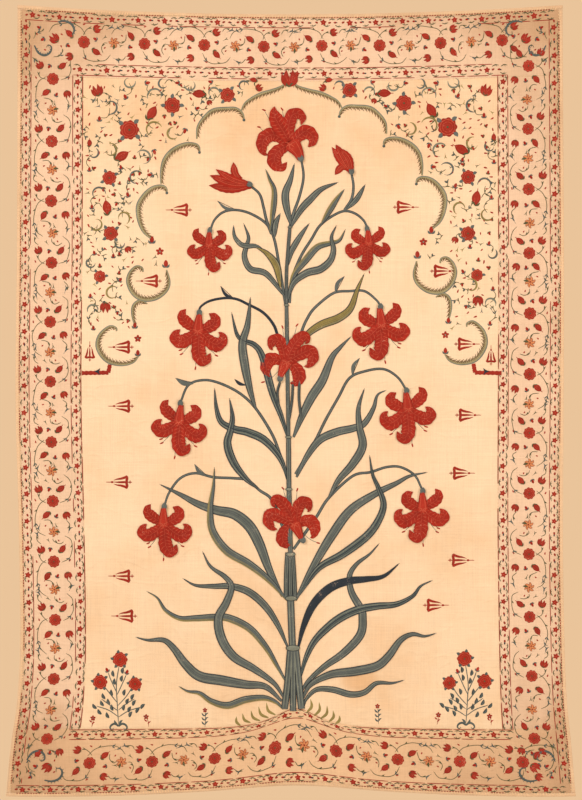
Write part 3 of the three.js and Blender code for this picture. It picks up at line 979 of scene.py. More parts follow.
FACING_PETALS = [
    ([(-0.7, 1.5), (-0.4, 0.7), (0, -0.2)], 24),
    ([(-0.1, 0), (-1.2, -0.3), (-1.8, -0.2), (-2.1, 0.55), (-1.9, 1.3), (-1.6, 1.45)], 19),
    ([(0.3, 0.1), (0.95, 0.7), (1.2, 1.45), (0.8, 2.05), (0.3, 2.1)], 20),
    ([(-0.2, -0.3), (-0.5, -1.7), (-0.95, -2.2), (-1.45, -2.1), (-1.6, -1.45), (-1.4, -1.2)], 18),
    ([(0.1, -0.1), (1.2, -0.7), (2.2, -1.1), (2.6, -0.45), (2.2, 0.3), (1.7, 0.45)], 19),
    ([(0, -0.2), (0.55, -1.45), (1.2, -2.3), (1.8, -2.6), (2.05, -2.1), (1.8, -1.8)], 18),
]
FACING_STAMENS = [(-0.45, -3.5), (1.0, -3.7), (2.55, -1.55), (-2.4, 2.0)]
TOP_PETALS = [
    ([(1.1, 1.55), (0.75, 0.75), (0.05, -0.25)], 32),
    ([(0, 0.1), (-0.9, 0.5), (-1.5, 1.1), (-1.5, 1.9), (-0.8, 2.3), (-0.3, 1.8)], 21),
    ([(-0.1, -0.1), (-1.5, -0.9), (-2.4, -0.7), (-2.8, 0.1), (-2.6, 0.9), (-2.2, 1.1)], 21),
    ([(0.2, 0), (0.9, -0.8), (1.6, -1.25), (2.2, -0.8), (2.25, -0.2), (1.8, 0.3)], 20),
    ([(0, -0.3), (-0.1, -1.8), (0.2, -2.8), (0.8, -3.0), (1.25, -2.6), (1.1, -1.9)], 19),
    ([(-0.1, -0.3), (-0.8, -1.5), (-1.35, -2.4), (-1.6, -3.2), (-1.55, -3.75)], 23),
]
TOP_STAMENS = [(-2.6, -3.4), (-3.1, -1.7), (-0.8, -3.5)]
BUD_PETALS = [
    ([(0.1, 0.1), (-1.8, 0.35), (-4.1, 0.1)], 14), ([(-0.9, -0.5), (-1.5, -1.1), (-1.65, -2.2)], 9),
    ([(0, 0), (-1.9, -0.15), (-4.0, -0.9)], 14), ([(0, 0), (-1.8, -0.5), (-3.4, -1.5)], 11),
]
UPRIGHT_BUD_PETALS = [
    ([(-0.3, -0.4), (-1.0, -0.5), (-1.65, 0.25)], 9), ([(0, 0), (-1.0, -1.1), (-1.95, -2.5)], 10),
    ([(0, 0), (-0.7, -1.2), (-1.55, -2.75)], 13), ([(0, 0), (-0.35, -1.3), (-1.2, -2.4)], 12),
]
# Blooms: heart in squares, turn in degrees, size, mirror, petals, stamens
BLOOMS = [
    ((-8.05, 23.1), 3, 0.78, 1, HANGING_PETALS, HANGING_STAMENS),
    ((7.9, 22.9), -2, 0.78, -1, HANGING_PETALS, HANGING_STAMENS),
    ((-9.15, 31.7), 0, 1.0, 1, HANGING_PETALS, HANGING_STAMENS),
    ((9.2, 31.1), 2, 1.0, -1, HANGING_PETALS, HANGING_STAMENS),
    ((-11.05, 40.75), -3, 0.97, 1, HANGING_PETALS, HANGING_STAMENS),
    ((11.85, 39.5), 3, 0.98, -1, HANGING_PETALS, HANGING_STAMENS),
    ((-12.6, 51.0), 4, 0.95, 1, HANGING_PETALS, HANGING_STAMENS),
    ((13.3, 49.5), -3, 0.96, -1, HANGING_PETALS, HANGING_STAMENS),
    ((-0.25, 34.8), 0, 1.0, 1, FACING_PETALS, FACING_STAMENS),
    ((0.45, 51.0), 2, 0.98, -1, FACING_PETALS, FACING_STAMENS),
    ((0.05, 13.0), 0, 1.0, 1, TOP_PETALS, TOP_STAMENS),
    ((-3.95, 17.05), 0, 1.0, 1, BUD_PETALS, []),
    ((6.2, 15.8), 0, 1.0, 1, UPRIGHT_BUD_PETALS, []),
]
# Green cups where the stalks end: place in squares, turn of the cup's mouth in degrees, width in mm
CUPS = [
    ((-7.95, 21.6), -96, 7), ((7.75, 21.4), -84, 7), ((-9.0, 29.8), -92, 8), ((9.1, 29.2), -88, 8),
    ((-10.9, 38.85), -95, 8), ((11.7, 37.6), -80, 8), ((-12.5, 49.15), -92, 8), ((13.3, 47.6), -88, 8),
    ((-0.95, 36.5), 65, 9), ((1.35, 52.6), 120, 9), ((1.15, 14.5), 118, 9), ((-3.95, 17.05), 160, 8),
    ((6.2, 15.8), 95, 8),
]
# Angles of the pink rays at the heart of a bloom, in degrees
HEART_RAYS = (20, 160, 215, 262, 325)


def stitch_petal(threads, points, wide, lift, closed=False):
    """A red petal with a frilled edge, a crimson middle and pink veins, which run lengthwise in a bud."""
    points = squares(points)
    track = threads.ribbon("red", points, petal_half(wide + 3.0, 0.045), 0.6, lift, step=1.5)
    inner = threads.ribbon("crimson", points, petal_half(wide * 0.7), 0.5, lift + 0.3, step=2.2)
    threads.line("pink", inner.beside(0.05, 0.0, 0.96), 1.3, lift + 0.75)
    if closed:
        for share in (-0.62, 0.62):
            threads.line("pink", inner.beside(share, 0.08, 0.9), 1.0, lift + 0.7)
        return
    length = track.s[-1]
    for k, reach in enumerate(np.arange(3.5, length - 4, 3.3)):
        side = 1 if k % 2 else -1
        ends = [track.at(reach / length, 0), track.at((reach + 1.2) / length, side * 0.4),
                track.at((reach + 3.8) / length, side * 0.84)]
        threads.narrow("pink", ends, lambda t: 0.62 - 0.3 * t, 0.45, lift + 0.68, 1.6)


def stitch_tube(threads, points, wide, lift):
    """The tube of a bloom: it flares from its cup to the heart, with pink rows that fan out."""
    half = lambda t: wide / 2 * (0.36 + 0.64 * t) * np.sqrt(np.clip((1.03 - t) * 5, 0, 1))
    flare = threads.ribbon("rim", squares(points), half, 0.7, lift, step=1.6)
    for share in (-0.9, 0.9):
        threads.line("crimson", flare.beside(share, 0.0, 0.85), 1.0, lift + 0.3)
    for share in (-0.5, 0.02, 0.5):
        threads.line("pink", flare.beside(share, 0.08, 0.97), 1.2, lift + 0.55)


class HANGING_OT_blooms(bpy.types.Operator):
    """Stitch the red blooms with their cups and stamens"""

    bl_idname = "hanging.blooms"
    bl_label = "Blooms"

    def execute(self, context):
        threads = Threads("bloom", 23)
        for heart, turn, size, mirror, petals, stamens in BLOOMS:
            threads.stand(squares(heart)[0], turn, size, mirror)
            for tip in stamens:
                tip = squares(tip)[0]
                bend = tip * 0.6 + (0, abs(tip[0]) * -0.12)
                threads.line("slate", [tip * 0.1, bend, tip], 1.1, 0.15)
                way = unit(tip * (1, 0.3))
                anther = circle(3.7, 10, 0.36) @ np.array([way, left_of(way)])
                threads.patch("red", tip + anther, 0.5, 0.3)
            tube, *others = petals if stamens else [None, *petals]
            for k, (points, wide) in enumerate(others):
                stitch_petal(threads, points, wide, 0.75 + 0.42 * k, closed=not tube)
            if tube:
                stitch_tube(threads, *tube, 3.0)
                for angle in HEART_RAYS:
                    way = toward(angle)
                    threads.narrow("pink", [way, way * 5, way * 9], lambda t: 0.75 - 0.4 * t, 0.3, 3.9,
                                   1.5)
        for place_at, turn, wide in CUPS:
            threads.stand(squares(place_at)[0], turn)
            for spread in (-0.42, 0, 0.42):
                threads.narrow("green", [(-4.5, 0), (0, spread * wide * 0.7), (5.5, spread * wide)],
                               leaf_half(wide * 0.5, 0.6, 0.5), 0.5, 3.5 + abs(spread), 1.8)
            threads.line("dark", [(-3.5, -wide * 0.24), (-3.2, 0), (-3.5, wide * 0.24)], 1.2, 4.2)
        threads.stand()
        threads.sew()
        return {"FINISHED"}


# The scalloped arch, left half: each lobe's course from the top outwards and down, and its width in mm
ARCH_LOBES = [
    ([(-0.25, 6.6), (-0.6, 7.15), (-1.25, 7.5), (-1.95, 7.75), (-2.8, 8.0), (-3.7, 8.45), (-4.4, 8.95),
      (-4.8, 9.65)], 6.4),
    ([(-4.55, 10.6), (-4.75, 9.95), (-5.35, 9.5), (-6.2, 9.5), (-7.55, 9.65), (-8.45, 10.35), (-9.1, 11.3),
      (-9.25, 12.5)], 7.4),
    ([(-9.0, 13.85), (-9.1, 13.3), (-9.55, 13.05), (-10.55, 13.1), (-11.7, 13.7), (-12.45, 14.6),
      (-12.75, 15.8), (-12.8, 17.0)], 8.2),
    ([(-12.25, 17.9), (-12.4, 17.4), (-12.95, 17.25), (-13.75, 17.5), (-14.5, 18.2), (-15.05, 19.2),
      (-15.0, 20.5), (-14.55, 21.7), (-13.75, 22.5)], 9.0),
    ([(-12.3, 25.6), (-12.05, 26.8), (-12.4, 27.7), (-13.4, 28.4), (-14.65, 28.5), (-15.6, 27.9),
      (-16.1, 26.8), (-15.9, 25.9), (-15.3, 25.3), (-14.75, 25.4), (-14.65, 25.8)], 8.2),
    ([(-14.2, 29.0), (-14.9, 28.7), (-15.5, 29.1), (-15.65, 29.9), (-15.5, 31.0)], 6.0),
    ([(-15.1, 34.2), (-15.7, 34.8), (-16.9, 35.0), (-18.25, 34.6), (-19.1, 33.4), (-18.95, 32.2),
      (-18.0, 31.3), (-17.35, 31.4), (-17.3, 31.7)], 8.2),
]
# Which side of each lobe carries the teeth: 1 is the left of its course
TOOTHED_SIDES = (1, 1, 1, 1, -1, 1, -1)
# Teeth: their pitch, how far each leans along its lobe, and the lengths that take turns
TOOTH_PITCH = 3.4
TOOTH_LEAN = 4.4
TOOTH_LONG = (1.6, 3.4)
# Small red buds and florets between the scrolls of the left half: place in squares, size in mm
ARCH_BUDS = [(-13.75, 22.6, 11), (-12.35, 25.0, 11), (-15.45, 31.15, 9), (-15.15, 33.9, 9)]
ARCH_FLORETS = [(-12.95, 23.75, 13), (-15.15, 32.45, 12)]
# How far the right half stands outward and up from the mirrored left half, in mm
ARCH_OUTWARD = 7.5
ARCH_UPWARD = 17
ARCH_TOP, ARCH_FOOT = 7.2, 35.9
# Pendants on the field: middle in squares, turn in degrees; the small drop points along the turn
PENDANTS = [
    (-10.95, 19.6, 180), (-13.95, 26.7, 180), (-16.75, 33.3, 180), (-16.75, 39.2, 180),
    (-16.95, 46.8, 180), (-16.75, 56.2, 180), (-16.45, 60.2, 180), (11.55, 19.3, 0), (15.25, 25.7, 0),
    (17.65, 33.0, 0), (17.75, 40.1, 0), (17.15, 45.9, 0), (17.05, 54.6, 0), (14.55, 59.1, 0),
    (-19.95, 33.8, 90), (20.15, 34.2, 90),
]


def arch_half(points, side):
    """Points of the left half in millimetres, or carried over to the right half if side is 1."""
    spots = squares(points)
    if side < 0:
        return spots
    down = -spots[:, 1] / SQUARE
    course = np.clip((down - ARCH_TOP) / (ARCH_FOOT - ARCH_TOP), 0, 1)
    outward = ARCH_OUTWARD * np.clip(-spots[:, 0] / 80, 0, 1)
    return np.column_stack([-spots[:, 0] + outward, spots[:, 1] + ARCH_UPWARD * np.sin(math.pi * course)])


def stitch_bud(threads, thread, size, lift=0.3, leaf="green", turn=0.0):
    """A small drop-shaped bud, pointing up, with two sepals at its foot."""
    way = np.array([-math.sin(math.radians(turn)), math.cos(math.radians(turn))])
    side = np.array([way[1], -way[0]])
    half = lambda t: size * 0.32 * np.sin(np.clip(t * 0.88 + 0.12, 0, 1) * math.pi) ** 0.6 + 0.15
    threads.narrow(thread, [-way * size * 0.42, way * 0, way * size * 0.62], half, 0.6, lift, 1.4)
    for hand in (1, -1) if leaf else ():
        tip = -way * size * 0.05 + side * hand * size * 0.55
        short_leaf(threads, leaf, -way * size * 0.5, tip, size * 0.28, lift + 0.2, -0.2 * hand)


def stitch_floret(threads, size, lift=0.3):
    """A small open flower with five round petals and a pale green middle."""
    half = lambda t: size * 0.17 * np.sqrt(np.clip(np.sin((t * 0.86 + 0.1) * math.pi), 0, 1)) + 0.1
    for k in range(5):
        way = toward(90 + 72 * k)
        petal = [way * size * 0.08, way * size * 0.3, way * size * 0.52]
        threads.narrow("madder", petal, half, 0.5, lift, 1.3)
    threads.patch("sage", circle(size * 0.13, 8), 0.5, lift + 0.35)


def stitch_pendant(threads):
    """A red bell of three petals on a crosswise rim and a stalk, with a drop and a thread at its tip."""
    for hand in (-1, 1):
        petal = np.array([(-12, 10.4), (-8.5, 8), (-2, 6), (5, 5), (11, 3)]) * (1, hand)
        threads.narrow("madder", petal, leaf_half(3.8, 0.8, 0.2), 0.5, 0.3, 2)
    threads.narrow("madder", [(-10, 0), (0, 0.2), (11, 0)], leaf_half(3.2, 0.9, 0.25), 0.5, 0.3, 2)
    threads.line("madder", [(-12.4, -10.6), (-10.6, 0), (-12.4, 10.6)], 3.4, 0.4)
    threads.line("brick", [(-14.0, -8.2), (-12.8, 0), (-14.0, 8.2)], 1.2, 0.4)
    threads.line("madder", [(-12, 0), (-16, 0.2), (-20.5, 0)], 1.6, 0.4)
    threads.line("madder", [(-17.2, -3), (-17, 0), (-17.2, 3)], 1.4, 0.5)
    threads.patch("madder", circle(2.6, 10, 0.7) + (13.4, 0), 0.5, 0.2)
    threads.line("madder", [(14, 0), (19, 0.1), (24, 0)], 1.3, 0.2)


class HANGING_OT_arch(bpy.types.Operator):
    """Stitch the scalloped arch with its scrolls, and the pendants"""

    bl_idname = "hanging.arch"
    bl_label = "Arch"

    def execute(self, context):
        threads = Threads("arch", 37)
        for side in (-1, 1):
            for (points, wide), hand in zip(ARCH_LOBES, TOOTHED_SIDES):
                hand = -side * hand
                course = arch_half(points, side)
                body = lambda t: wide / 2 * (0.3 + 0.64 * np.sin(np.clip(t, 0, 1) * math.pi) ** 0.8)
                track = threads.ribbon("reed", course, body, 0.6, 0.1, step=2.6)
                threads.line("sage", track.beside(-0.8 * hand), 1.6, 0.5)
                threads.line("slate", track.beside(-1.0 * hand), 0.9, 0.4)
                threads.line("olive", track.beside(-0.25 * hand), 1.0, 0.6, tone=0.7)
                threads.line("olive", track.beside(0.3 * hand), 1.0, 0.6, tone=0.5)
                length = track.s[-1]
                for k, reach in enumerate(np.arange(3, length - 4, TOOTH_PITCH)):
                    ahead = (reach + TOOTH_LEAN) / length
                    foot, edge = track.at(reach / length, hand * 0.1), track.at(ahead, hand)
                    tip = edge + unit(edge - track.at(ahead, 0)) * TOOTH_LONG[k % 2]
                    half = lambda t: 0.9 * (1 - t) + 0.28
                    threads.narrow("brown", straight(foot, tip), half, 0.45, 0.62, 2)
                if hand * side < 0 and wide > 7:
                    threads.patch("slate", circle(2.5, 10) + track.at(0.0), 0.6, 0.5)
            for x, down, size in ARCH_BUDS:
                threads.stand(arch_half([(x, down)], side)[0])
                stitch_bud(threads, "madder", size, 0.5)
            for x, down, size in ARCH_FLORETS:
                threads.stand(arch_half([(x, down)], side)[0])
                stitch_floret(threads, size)
            threads.stand()
            knee, drop, foot = arch_half([(-17.95, 35.05), (-18.1, 35.85), (-20.75, 35.9)], side)
            for start, end in ((knee, drop), (drop, foot)):
                half = lambda t: 3.5 + 0.4 * np.sin(t * 40)
                threads.ribbon("madder", straight(start, end), half, 0.7, 0.3, step=1.5)
            threads.stand(arch_half([(-19.2, 35.75)], side)[0])
            arrow = np.array([(-5.5, 0), (0, 2.6), (5, 5.8), (2.6, 0), (5, -5.8), (0, -2.6)]) * (-side, 1)
            threads.patch("navy", arrow, 0.4, 1.0)
            threads.stand()
        threads.stand(squares((0, 6.35))[0])
        stitch_fan(threads, 27, 0.9)
        for x, down, turn in PENDANTS:
            threads.stand(squares((x, down))[0], turn, 0.78 if turn == 90 else 1)
            stitch_pendant(threads)
        threads.stand()
        threads.sew()
        return {"FINISHED"}


# Small flowers of the spandrels and borders: how far they stand up, and the scallops of a rosette
FLOWER_LIFT = 0.35
SCALLOPS = 9


def stitch_rosette(threads, radius, thread="madder"):
    """A round flower with a scalloped edge, pink rings and a greenish eye."""
    outline = circle(radius, SCALLOPS * 4, waves=SCALLOPS, wave=0.16)
    threads.patch(thread, outline, 0.55, FLOWER_LIFT, rings=(0.5, 0.8, 1))
    for share, wide in ((0.80, 1.0), (0.54, 1.0), (0.28, 0.9)):
        ring = circle(radius * share, 20)
        threads.line("pink", np.vstack([ring, ring[:1]]), wide, FLOWER_LIFT + 0.5, step=1.9)
    for k in range(SCALLOPS):
        way = toward((k + 0.5) / SCALLOPS * 360) * radius
        threads.narrow("crimson", [way * 0.58, way * 0.75, way * 0.94], 0.5, 0.3, FLOWER_LIFT + 0.45, 2)
    threads.patch("vine", circle(radius * 0.13, 9), 0.5, FLOWER_LIFT + 0.6)


def stitch_fan(threads, wide, lift=FLOWER_LIFT):
    """A half-open flower: a round body with pointed teeth that opens upward from a green cup."""
    reach = wide * 0.5
    foot = np.array([0, -reach])
    for k, angle in enumerate((-34, 34, -12, 12)):
        way = np.array([math.sin(math.radians(angle)), math.cos(math.radians(angle))])
        long = reach * (2.15 - abs(angle) / 90)
        bow = np.array([way[1], -way[0]]) * np.sign(angle) * reach * 0.2
        threads.narrow("madder", [foot, foot + way * long * 0.45 + bow, foot + way * long],
                       leaf_half(wide * 0.38, 0.5, 0.42), 0.5, lift + 0.1 * k, 1.8)
    for angle in (-22, 0, 22):
        way = np.array([math.sin(math.radians(angle)), math.cos(math.radians(angle))]) * reach
        row = [foot + way * share for share in (0.5, 0.9, 1.3)]
        threads.narrow("pink", row, 0.3, 0.3, lift + 0.85, 2)
    for hand in (1, -1):
        tip = (hand * wide * 0.22, -reach * 0.7)
        short_leaf(threads, "vine", (0, -reach * 1.15), tip, wide * 0.1, lift + 0.75)


def stitch_fruit(threads, long):
    """A red fruit with two pink rows and two sepals; its pointed tip is up."""
    wide = long * 0.6
    half = lambda t: wide / 2 * np.sin(np.clip(t * 0.96 + 0.03, 0, 1) * math.pi) ** 0.9 + 0.15
    body = [(0, -long / 2), (0.3, 0), (0, long / 2)]
    track = threads.ribbon("madder", body, half, 0.6, FLOWER_LIFT, step=1.8)
    for share in (1, -1):
        threads.line("crimson", track.beside(share * 0.96), 0.9, FLOWER_LIFT + 0.25)
        threads.line("pink", track.beside(share * 0.4, 0.12, 0.8), 0.6, FLOWER_LIFT + 0.5)
    threads.line("madder", [(0, long * 0.4), (0.3, long * 0.56), (0.2, long * 0.72)], 1.2, 0.3)
    for hand in (1, -1):
        tip = (hand * wide * 0.5, -long * 0.3)
        short_leaf(threads, "vine", (0, -long * 0.56), tip, wide * 0.2, FLOWER_LIFT + 0.35)


def stitch_lily(threads, wide):
    """A six-petalled golden lily, outlined, with a green stalk."""
    for k in range(6):
        way = toward(60 * k + 90) * wide / 2
        course = [way * 0.08, way * 0.55 + left_of(way) * 0.18, way]
        track = threads.narrow("amber", course, leaf_half(wide * 0.2, 0.5, 0.5), 0.5, FLOWER_LIFT, 1.5)
        for share in (0.95, -0.95):
            threads.line("brick", track.beside(share, 0.1), 0.7, FLOWER_LIFT + 0.25)
    threads.patch("brick", circle(wide * 0.09, 8), 0.4, FLOWER_LIFT + 0.5)
    short_leaf(threads, "vine", (wide * 0.15, 0), (wide * 0.62, wide * 0.04), 3.6, 0.6)


def stitch_scroll(threads, points, thread):
    """A crescent scroll, thin at both ends, with a dark row along one side."""
    track = threads.ribbon(thread, points, leaf_half(2.6, 0.12, 0.4), 0.55, 0.25, step=1.6)
    threads.line("vine", track.beside(0.9, 0.1, 0.9), 0.6, 0.5)


def stitch_sprig(threads, size, thread="vine", lift=0.12):
    """Two pointed leaves in a V with a short stalk."""
    for hand in (1, -1):
        short_leaf(threads, thread, (0, 0), (hand * size * 0.36, size * 0.85), size * 0.2, lift, 0.2 * hand)
    threads.line(thread, [(0, 0), (0.3, -size * 0.2), (0, -size * 0.4)], 1.0, lift)


def stitch_dash(threads, size, thread="madder"):
    """A short thick stitch."""
    threads.narrow(thread, [(-size / 2, 0), (0, 0.15), (size / 2, 0)], leaf_half(2.0, 0.6), 0.55, 0.25, 1.4)


def stitch_vine(threads, points, leaves):
    """A thin vine, with one slender leaf or two at each of these shares of its length."""
    track = threads.line("vine", points, 1.15, 0.3)
    for k, t in enumerate(leaves):
        here, ahead = track.at(t), track.at(min(1, t + 0.03))
        way = unit(ahead - here)
        leaf = ("vine", "slate", "vine")[k % 3]
        for hand in (1, -1) if k % 2 else (-1,):
            short_leaf(threads, leaf, here, here + way * 4.8 + left_of(way) * hand * 3.4, 1.7, 0.3)


# Motifs of one border repeat, in millimetres from its rosette: kind, across, along, turn in degrees, size
BORDER_MOTIFS = [
    ("fan", -22.4, 21.9, 25, 13), ("fruit", 15, 21.5, -40, 15), ("darkbud", -5, 20, 160, 6.5),
    ("fruit", -12.5, -24, 140, 15), ("fan", 24, -24.5, 200, 12.5), ("darkbud", 6, -25, -20, 6.5),
    ("dash", 28, 3, 60, 4.6), ("dash", -28, 1, 110, 4.6), ("lily", 0, 51, 0, 18),
    ("leafpair", -25, 42, 20, 11), ("leafpair", 26, 52, -30, 11), ("leafpair", -24, -42, 160, 10),
    ("dash", 9, 36, 120, 3.6), ("dash", -12, -40, 30, 3.6), ("sprig", 4, -38, 190, 7),
    ("sprig", -8, 33, 40, 7),
]
# Vines of one repeat: their points and where they carry leaves
BORDER_VINES = [
    ([(20, 44), (28, 37), (31, 26), (30.5, 14), (25, 4), (13, -2)], (0.35, 0.75)),
    ([(-12, 3), (-23, -6), (-29, -22), (-29, -38), (-24, -51), (-14, -58)], (0.3, 0.62)),
    ([(17, 33), (9, 30), (1, 34), (0, 40)], (0.5,)),
    ([(-15, -32), (-6, -33), (0, -38), (-2, -44)], (0.5,)),
    ([(-22, 30), (-28, 35), (-29, 44)], (0.6,)),
    ([(22, -32), (28, -38), (27, -47)], (0.6,)),
    ([(-12, -2), (-20, 3), (-26, 12)], (0.7,)),
]
# The kinds of motif that the tables name
MOTIFS = {
    "fan": stitch_fan,
    "fruit": stitch_fruit,
    "lily": stitch_lily,
    "dash": stitch_dash,
    "sprig": stitch_sprig,
    "leafpair": lambda threads, size: stitch_sprig(threads, size, "slate"),
    "bud": lambda threads, size: stitch_bud(threads, "madder", size),
    "darkbud": lambda threads, size: stitch_bud(threads, "crimson", size, leaf="slate"),
}
# Border runs: first rosette and step in the plan (across, down), how many, turn, and mirror
BORDER_RUNS = [
    ((-405, 117), (0, 101.6), 12, 0, 1), ((405, 97), (0, 103), 12, 0, -1),
    ((-352, 54), (101.5, 0), 8, -90, 1), ((-333, 1274), (102, 0), 8, 90, -1),
]
# Radius of a rosette, how far a repeat may slip to the side and along, and how much of the last one stays
BORDER_ROSETTE = 10
SIDE_SHIFT = 1.5
ALONG_SHIFT = 3.5
END_CLEAR = 30


# Corners: how far their middle is across, and how far down at the top (1) and at the bottom (-1). Then each
# corner: top or bottom, -1 for left or 1 for right, turn and mirror
CORNER_ACROSS = 408.5
CORNER_DOWN = {1: 60, -1: 1274}
CORNERS = [(-1, -1, 0, 1), (-1, 1, 0, -1), (1, -1, 180, -1), (1, 1, 180, 1)]
CORNER_SCROLLS = [
    [(-26.5, 4.8), (-20, 16), (-9.5, 20.1), (0, 15), (2.5, 6), (-3, 2.5), (-6, 7)],
    [(13, -36), (25, -38), (36, -34), (41, -25), (38, -17), (31, -16), (31, -22)],
]
# How far the second scroll of the bottom corners stands from its place in the top corners
SCROLL_SHIFT = (-8, 6)
CORNER_VINES = [
    [(-28, -6), (-22, -16), (-12, -20)], [(6, 22), (16, 20), (22, 12)], [(-30, 24), (-24, 30)],
]
CORNER_MOTIFS = [
    ("fan", 6.5, -9.2, 135, 16), ("darkbud", -12.2, -6, 60, 7), ("darkbud", -19, -25, 120, 6),
    ("dash", 20, -16, 30, 4), ("dash", 19, 4, 70, 4), ("dash", -8, 11, 20, 4), ("dash", -22, -14, 80, 4),
]


class HANGING_OT_borders(bpy.types.Operator):
    """Stitch the flowers and vines of the border strips"""

    bl_idname = "hanging.borders"
    bl_label = "Borders"

    def execute(self, context):
        threads = Threads("border", 53, plan=True)
        for first, step, count, turn, hand in BORDER_RUNS:
            ahead = np.array([step[0], -step[1]]) / max(step)
            away = np.array([ahead[1], ahead[0]])
            for k in range(count):
                slip = threads.random.uniform(-1, 1, 2) * (SIDE_SHIFT, ALONG_SHIFT)
                centre = np.array(first) * (1, -1) + ahead * (max(step) * k + slip[1]) + away * slip[0]
                size = 0.97 + 0.06 * threads.random.random()

                def fits(x, y):
                    """False for what would reach past the run's end into the corner."""
                    threads.stand(centre, turn, size, hand)
                    along = threads.turned @ (x, y) @ ahead
                    return not (k == 0 and along < -END_CLEAR or k == count - 1 and along > END_CLEAR)

                def stand_at(x, y, more=0.0):
                    threads.stand(centre, turn, size, hand)
                    threads.stand(threads.turned @ (x, y) + centre, turn + hand * more, size, hand)

                stand_at(0, 0)
                stitch_rosette(threads, BORDER_ROSETTE)
                for points, leaves in BORDER_VINES:
                    wobble = threads.random.uniform(-1.2, 1.2, (len(points), 2))
                    if fits(*points[2]):
                        stitch_vine(threads, np.array(points) + wobble, leaves=leaves)
                for kind, x, y, more, motif in BORDER_MOTIFS:
                    nudge = threads.random.uniform(-1.3, 1.3, 3)
                    if fits(x, y):
                        stand_at(x + nudge[0], y + nudge[1], more + nudge[2] * 10)
                        MOTIFS[kind](threads, motif)
        for level, across, turn, hand in CORNERS:
            centre = np.array([across * CORNER_ACROSS, -CORNER_DOWN[level]])
            threads.stand(centre, turn, 1, hand)
            for k, points in enumerate(CORNER_SCROLLS):
                points = np.array(points) + (SCROLL_SHIFT if level < 0 and k else (0, 0))
                track = threads.ribbon("slate", points, leaf_half(3.6, 0.4, 0.4), 0.6, 0.3, step=2)
                threads.line("vine", track.beside(0.05), 0.9, 0.7)
                for t in np.arange(0.12, 0.9, 0.085):
                    foot = track.at(t, -0.6)
                    tip = foot + unit(foot - track.at(t, 0.6)) * 3.2
                    half = lambda t: 0.7 * (1 - t) + 0.2
                    threads.narrow("slate", straight(foot, tip), half, 0.4, 0.25, 1.5)
            for points in CORNER_VINES:
                stitch_vine(threads, points, leaves=(0.3, 0.6, 0.9))
            base = threads.turned
            for kind, x, y, more, motif in CORNER_MOTIFS:
                threads.stand(base @ (x, y) + centre, turn + hand * more, 1, hand)
                MOTIFS[kind](threads, motif)
        threads.stand()
        threads.sew()
        return {"FINISHED"}


# Guard bands: start and end of the middle line in the plan, width in mm, and pitch of the motifs
GUARDS = [
    ((-449, 15), (449, 15), 16, 45.9), ((-449, 24), (-449, 1310), 16, 45.9),
    ((449, 24), (449, 1310), 16, 45.9), ((-449, 1320.5), (449, 1320.5), 13, 44.5),
    ((-369, 101), (369, 101), 18, 45.9), ((-361.3, 110), (-361.3, 1218), 16, 45.9),
    ((361.3, 110), (361.3, 1218), 16, 45.9), ((-369, 1226), (369, 1226), 16, 44.5),
]


def stitch_star(threads, radius, lift=0.3):
    """A small star flower with five points."""
    for k in range(5):
        way = toward(72 * k + 18) * radius
        half = leaf_half(radius * 0.62, 0.7, 0.4)
        threads.narrow("madder", [way * 0.05, way * 0.5, way], half, 0.5, lift, 1.4)
    threads.patch("pink", circle(radius * 0.18, 7), 0.4, lift + 0.4)


def guard_leaf(threads, hand, wide):
    """A slender curved leaf that hugs one side of the band, with a short twig."""
    y = hand * (wide / 2 - 1.9)
    track = threads.narrow("vine", [(-5.5, y - hand * 1.6), (0, y + hand * 0.5), (5.5, y - hand * 1.2)],
                           leaf_half(1.3, 0.4, 0.5), 0.5, 0.22, 2)
    foot = track.at(0.45)
    twig = [foot, foot + (1.6, -hand * 1.2), foot + (2.6, -hand * 2.8)]
    threads.narrow("vine", twig, 0.42, 0.4, 0.2, 1.6)


# Bounding lines of the guard bands: least and greatest length of a stretch, and the share that is stitched
GUARD_DASH = (16, 60)
GUARD_KEPT = 0.86
# One unit of a guard band: where along it, and what is stitched there
GUARD_UNIT = [
    (0.25, lambda threads, wide: stitch_star(threads, 5.4)),
    (0.75, lambda threads, wide: stitch_dash(threads, 5.4, "navy")),
    (0.70, lambda threads, wide: stitch_bud(threads, "crimson", 4.6, leaf=None, turn=90)),
    (0.02, lambda threads, wide: stitch_bud(threads, "brick", 4.8, leaf=None, turn=70)),
    (0.48, lambda threads, wide: stitch_bud(threads, "brick", 4.8, leaf=None, turn=-70)),
    (0.13, lambda threads, wide: guard_leaf(threads, 1, wide)),
    (0.38, lambda threads, wide: guard_leaf(threads, -1, wide)),
    (0.60, lambda threads, wide: guard_leaf(threads, 1, wide)),
    (0.86, lambda threads, wide: guard_leaf(threads, -1, wide)),
    (0.89, lambda threads, wide: guard_leaf(threads, 1, wide)),
]


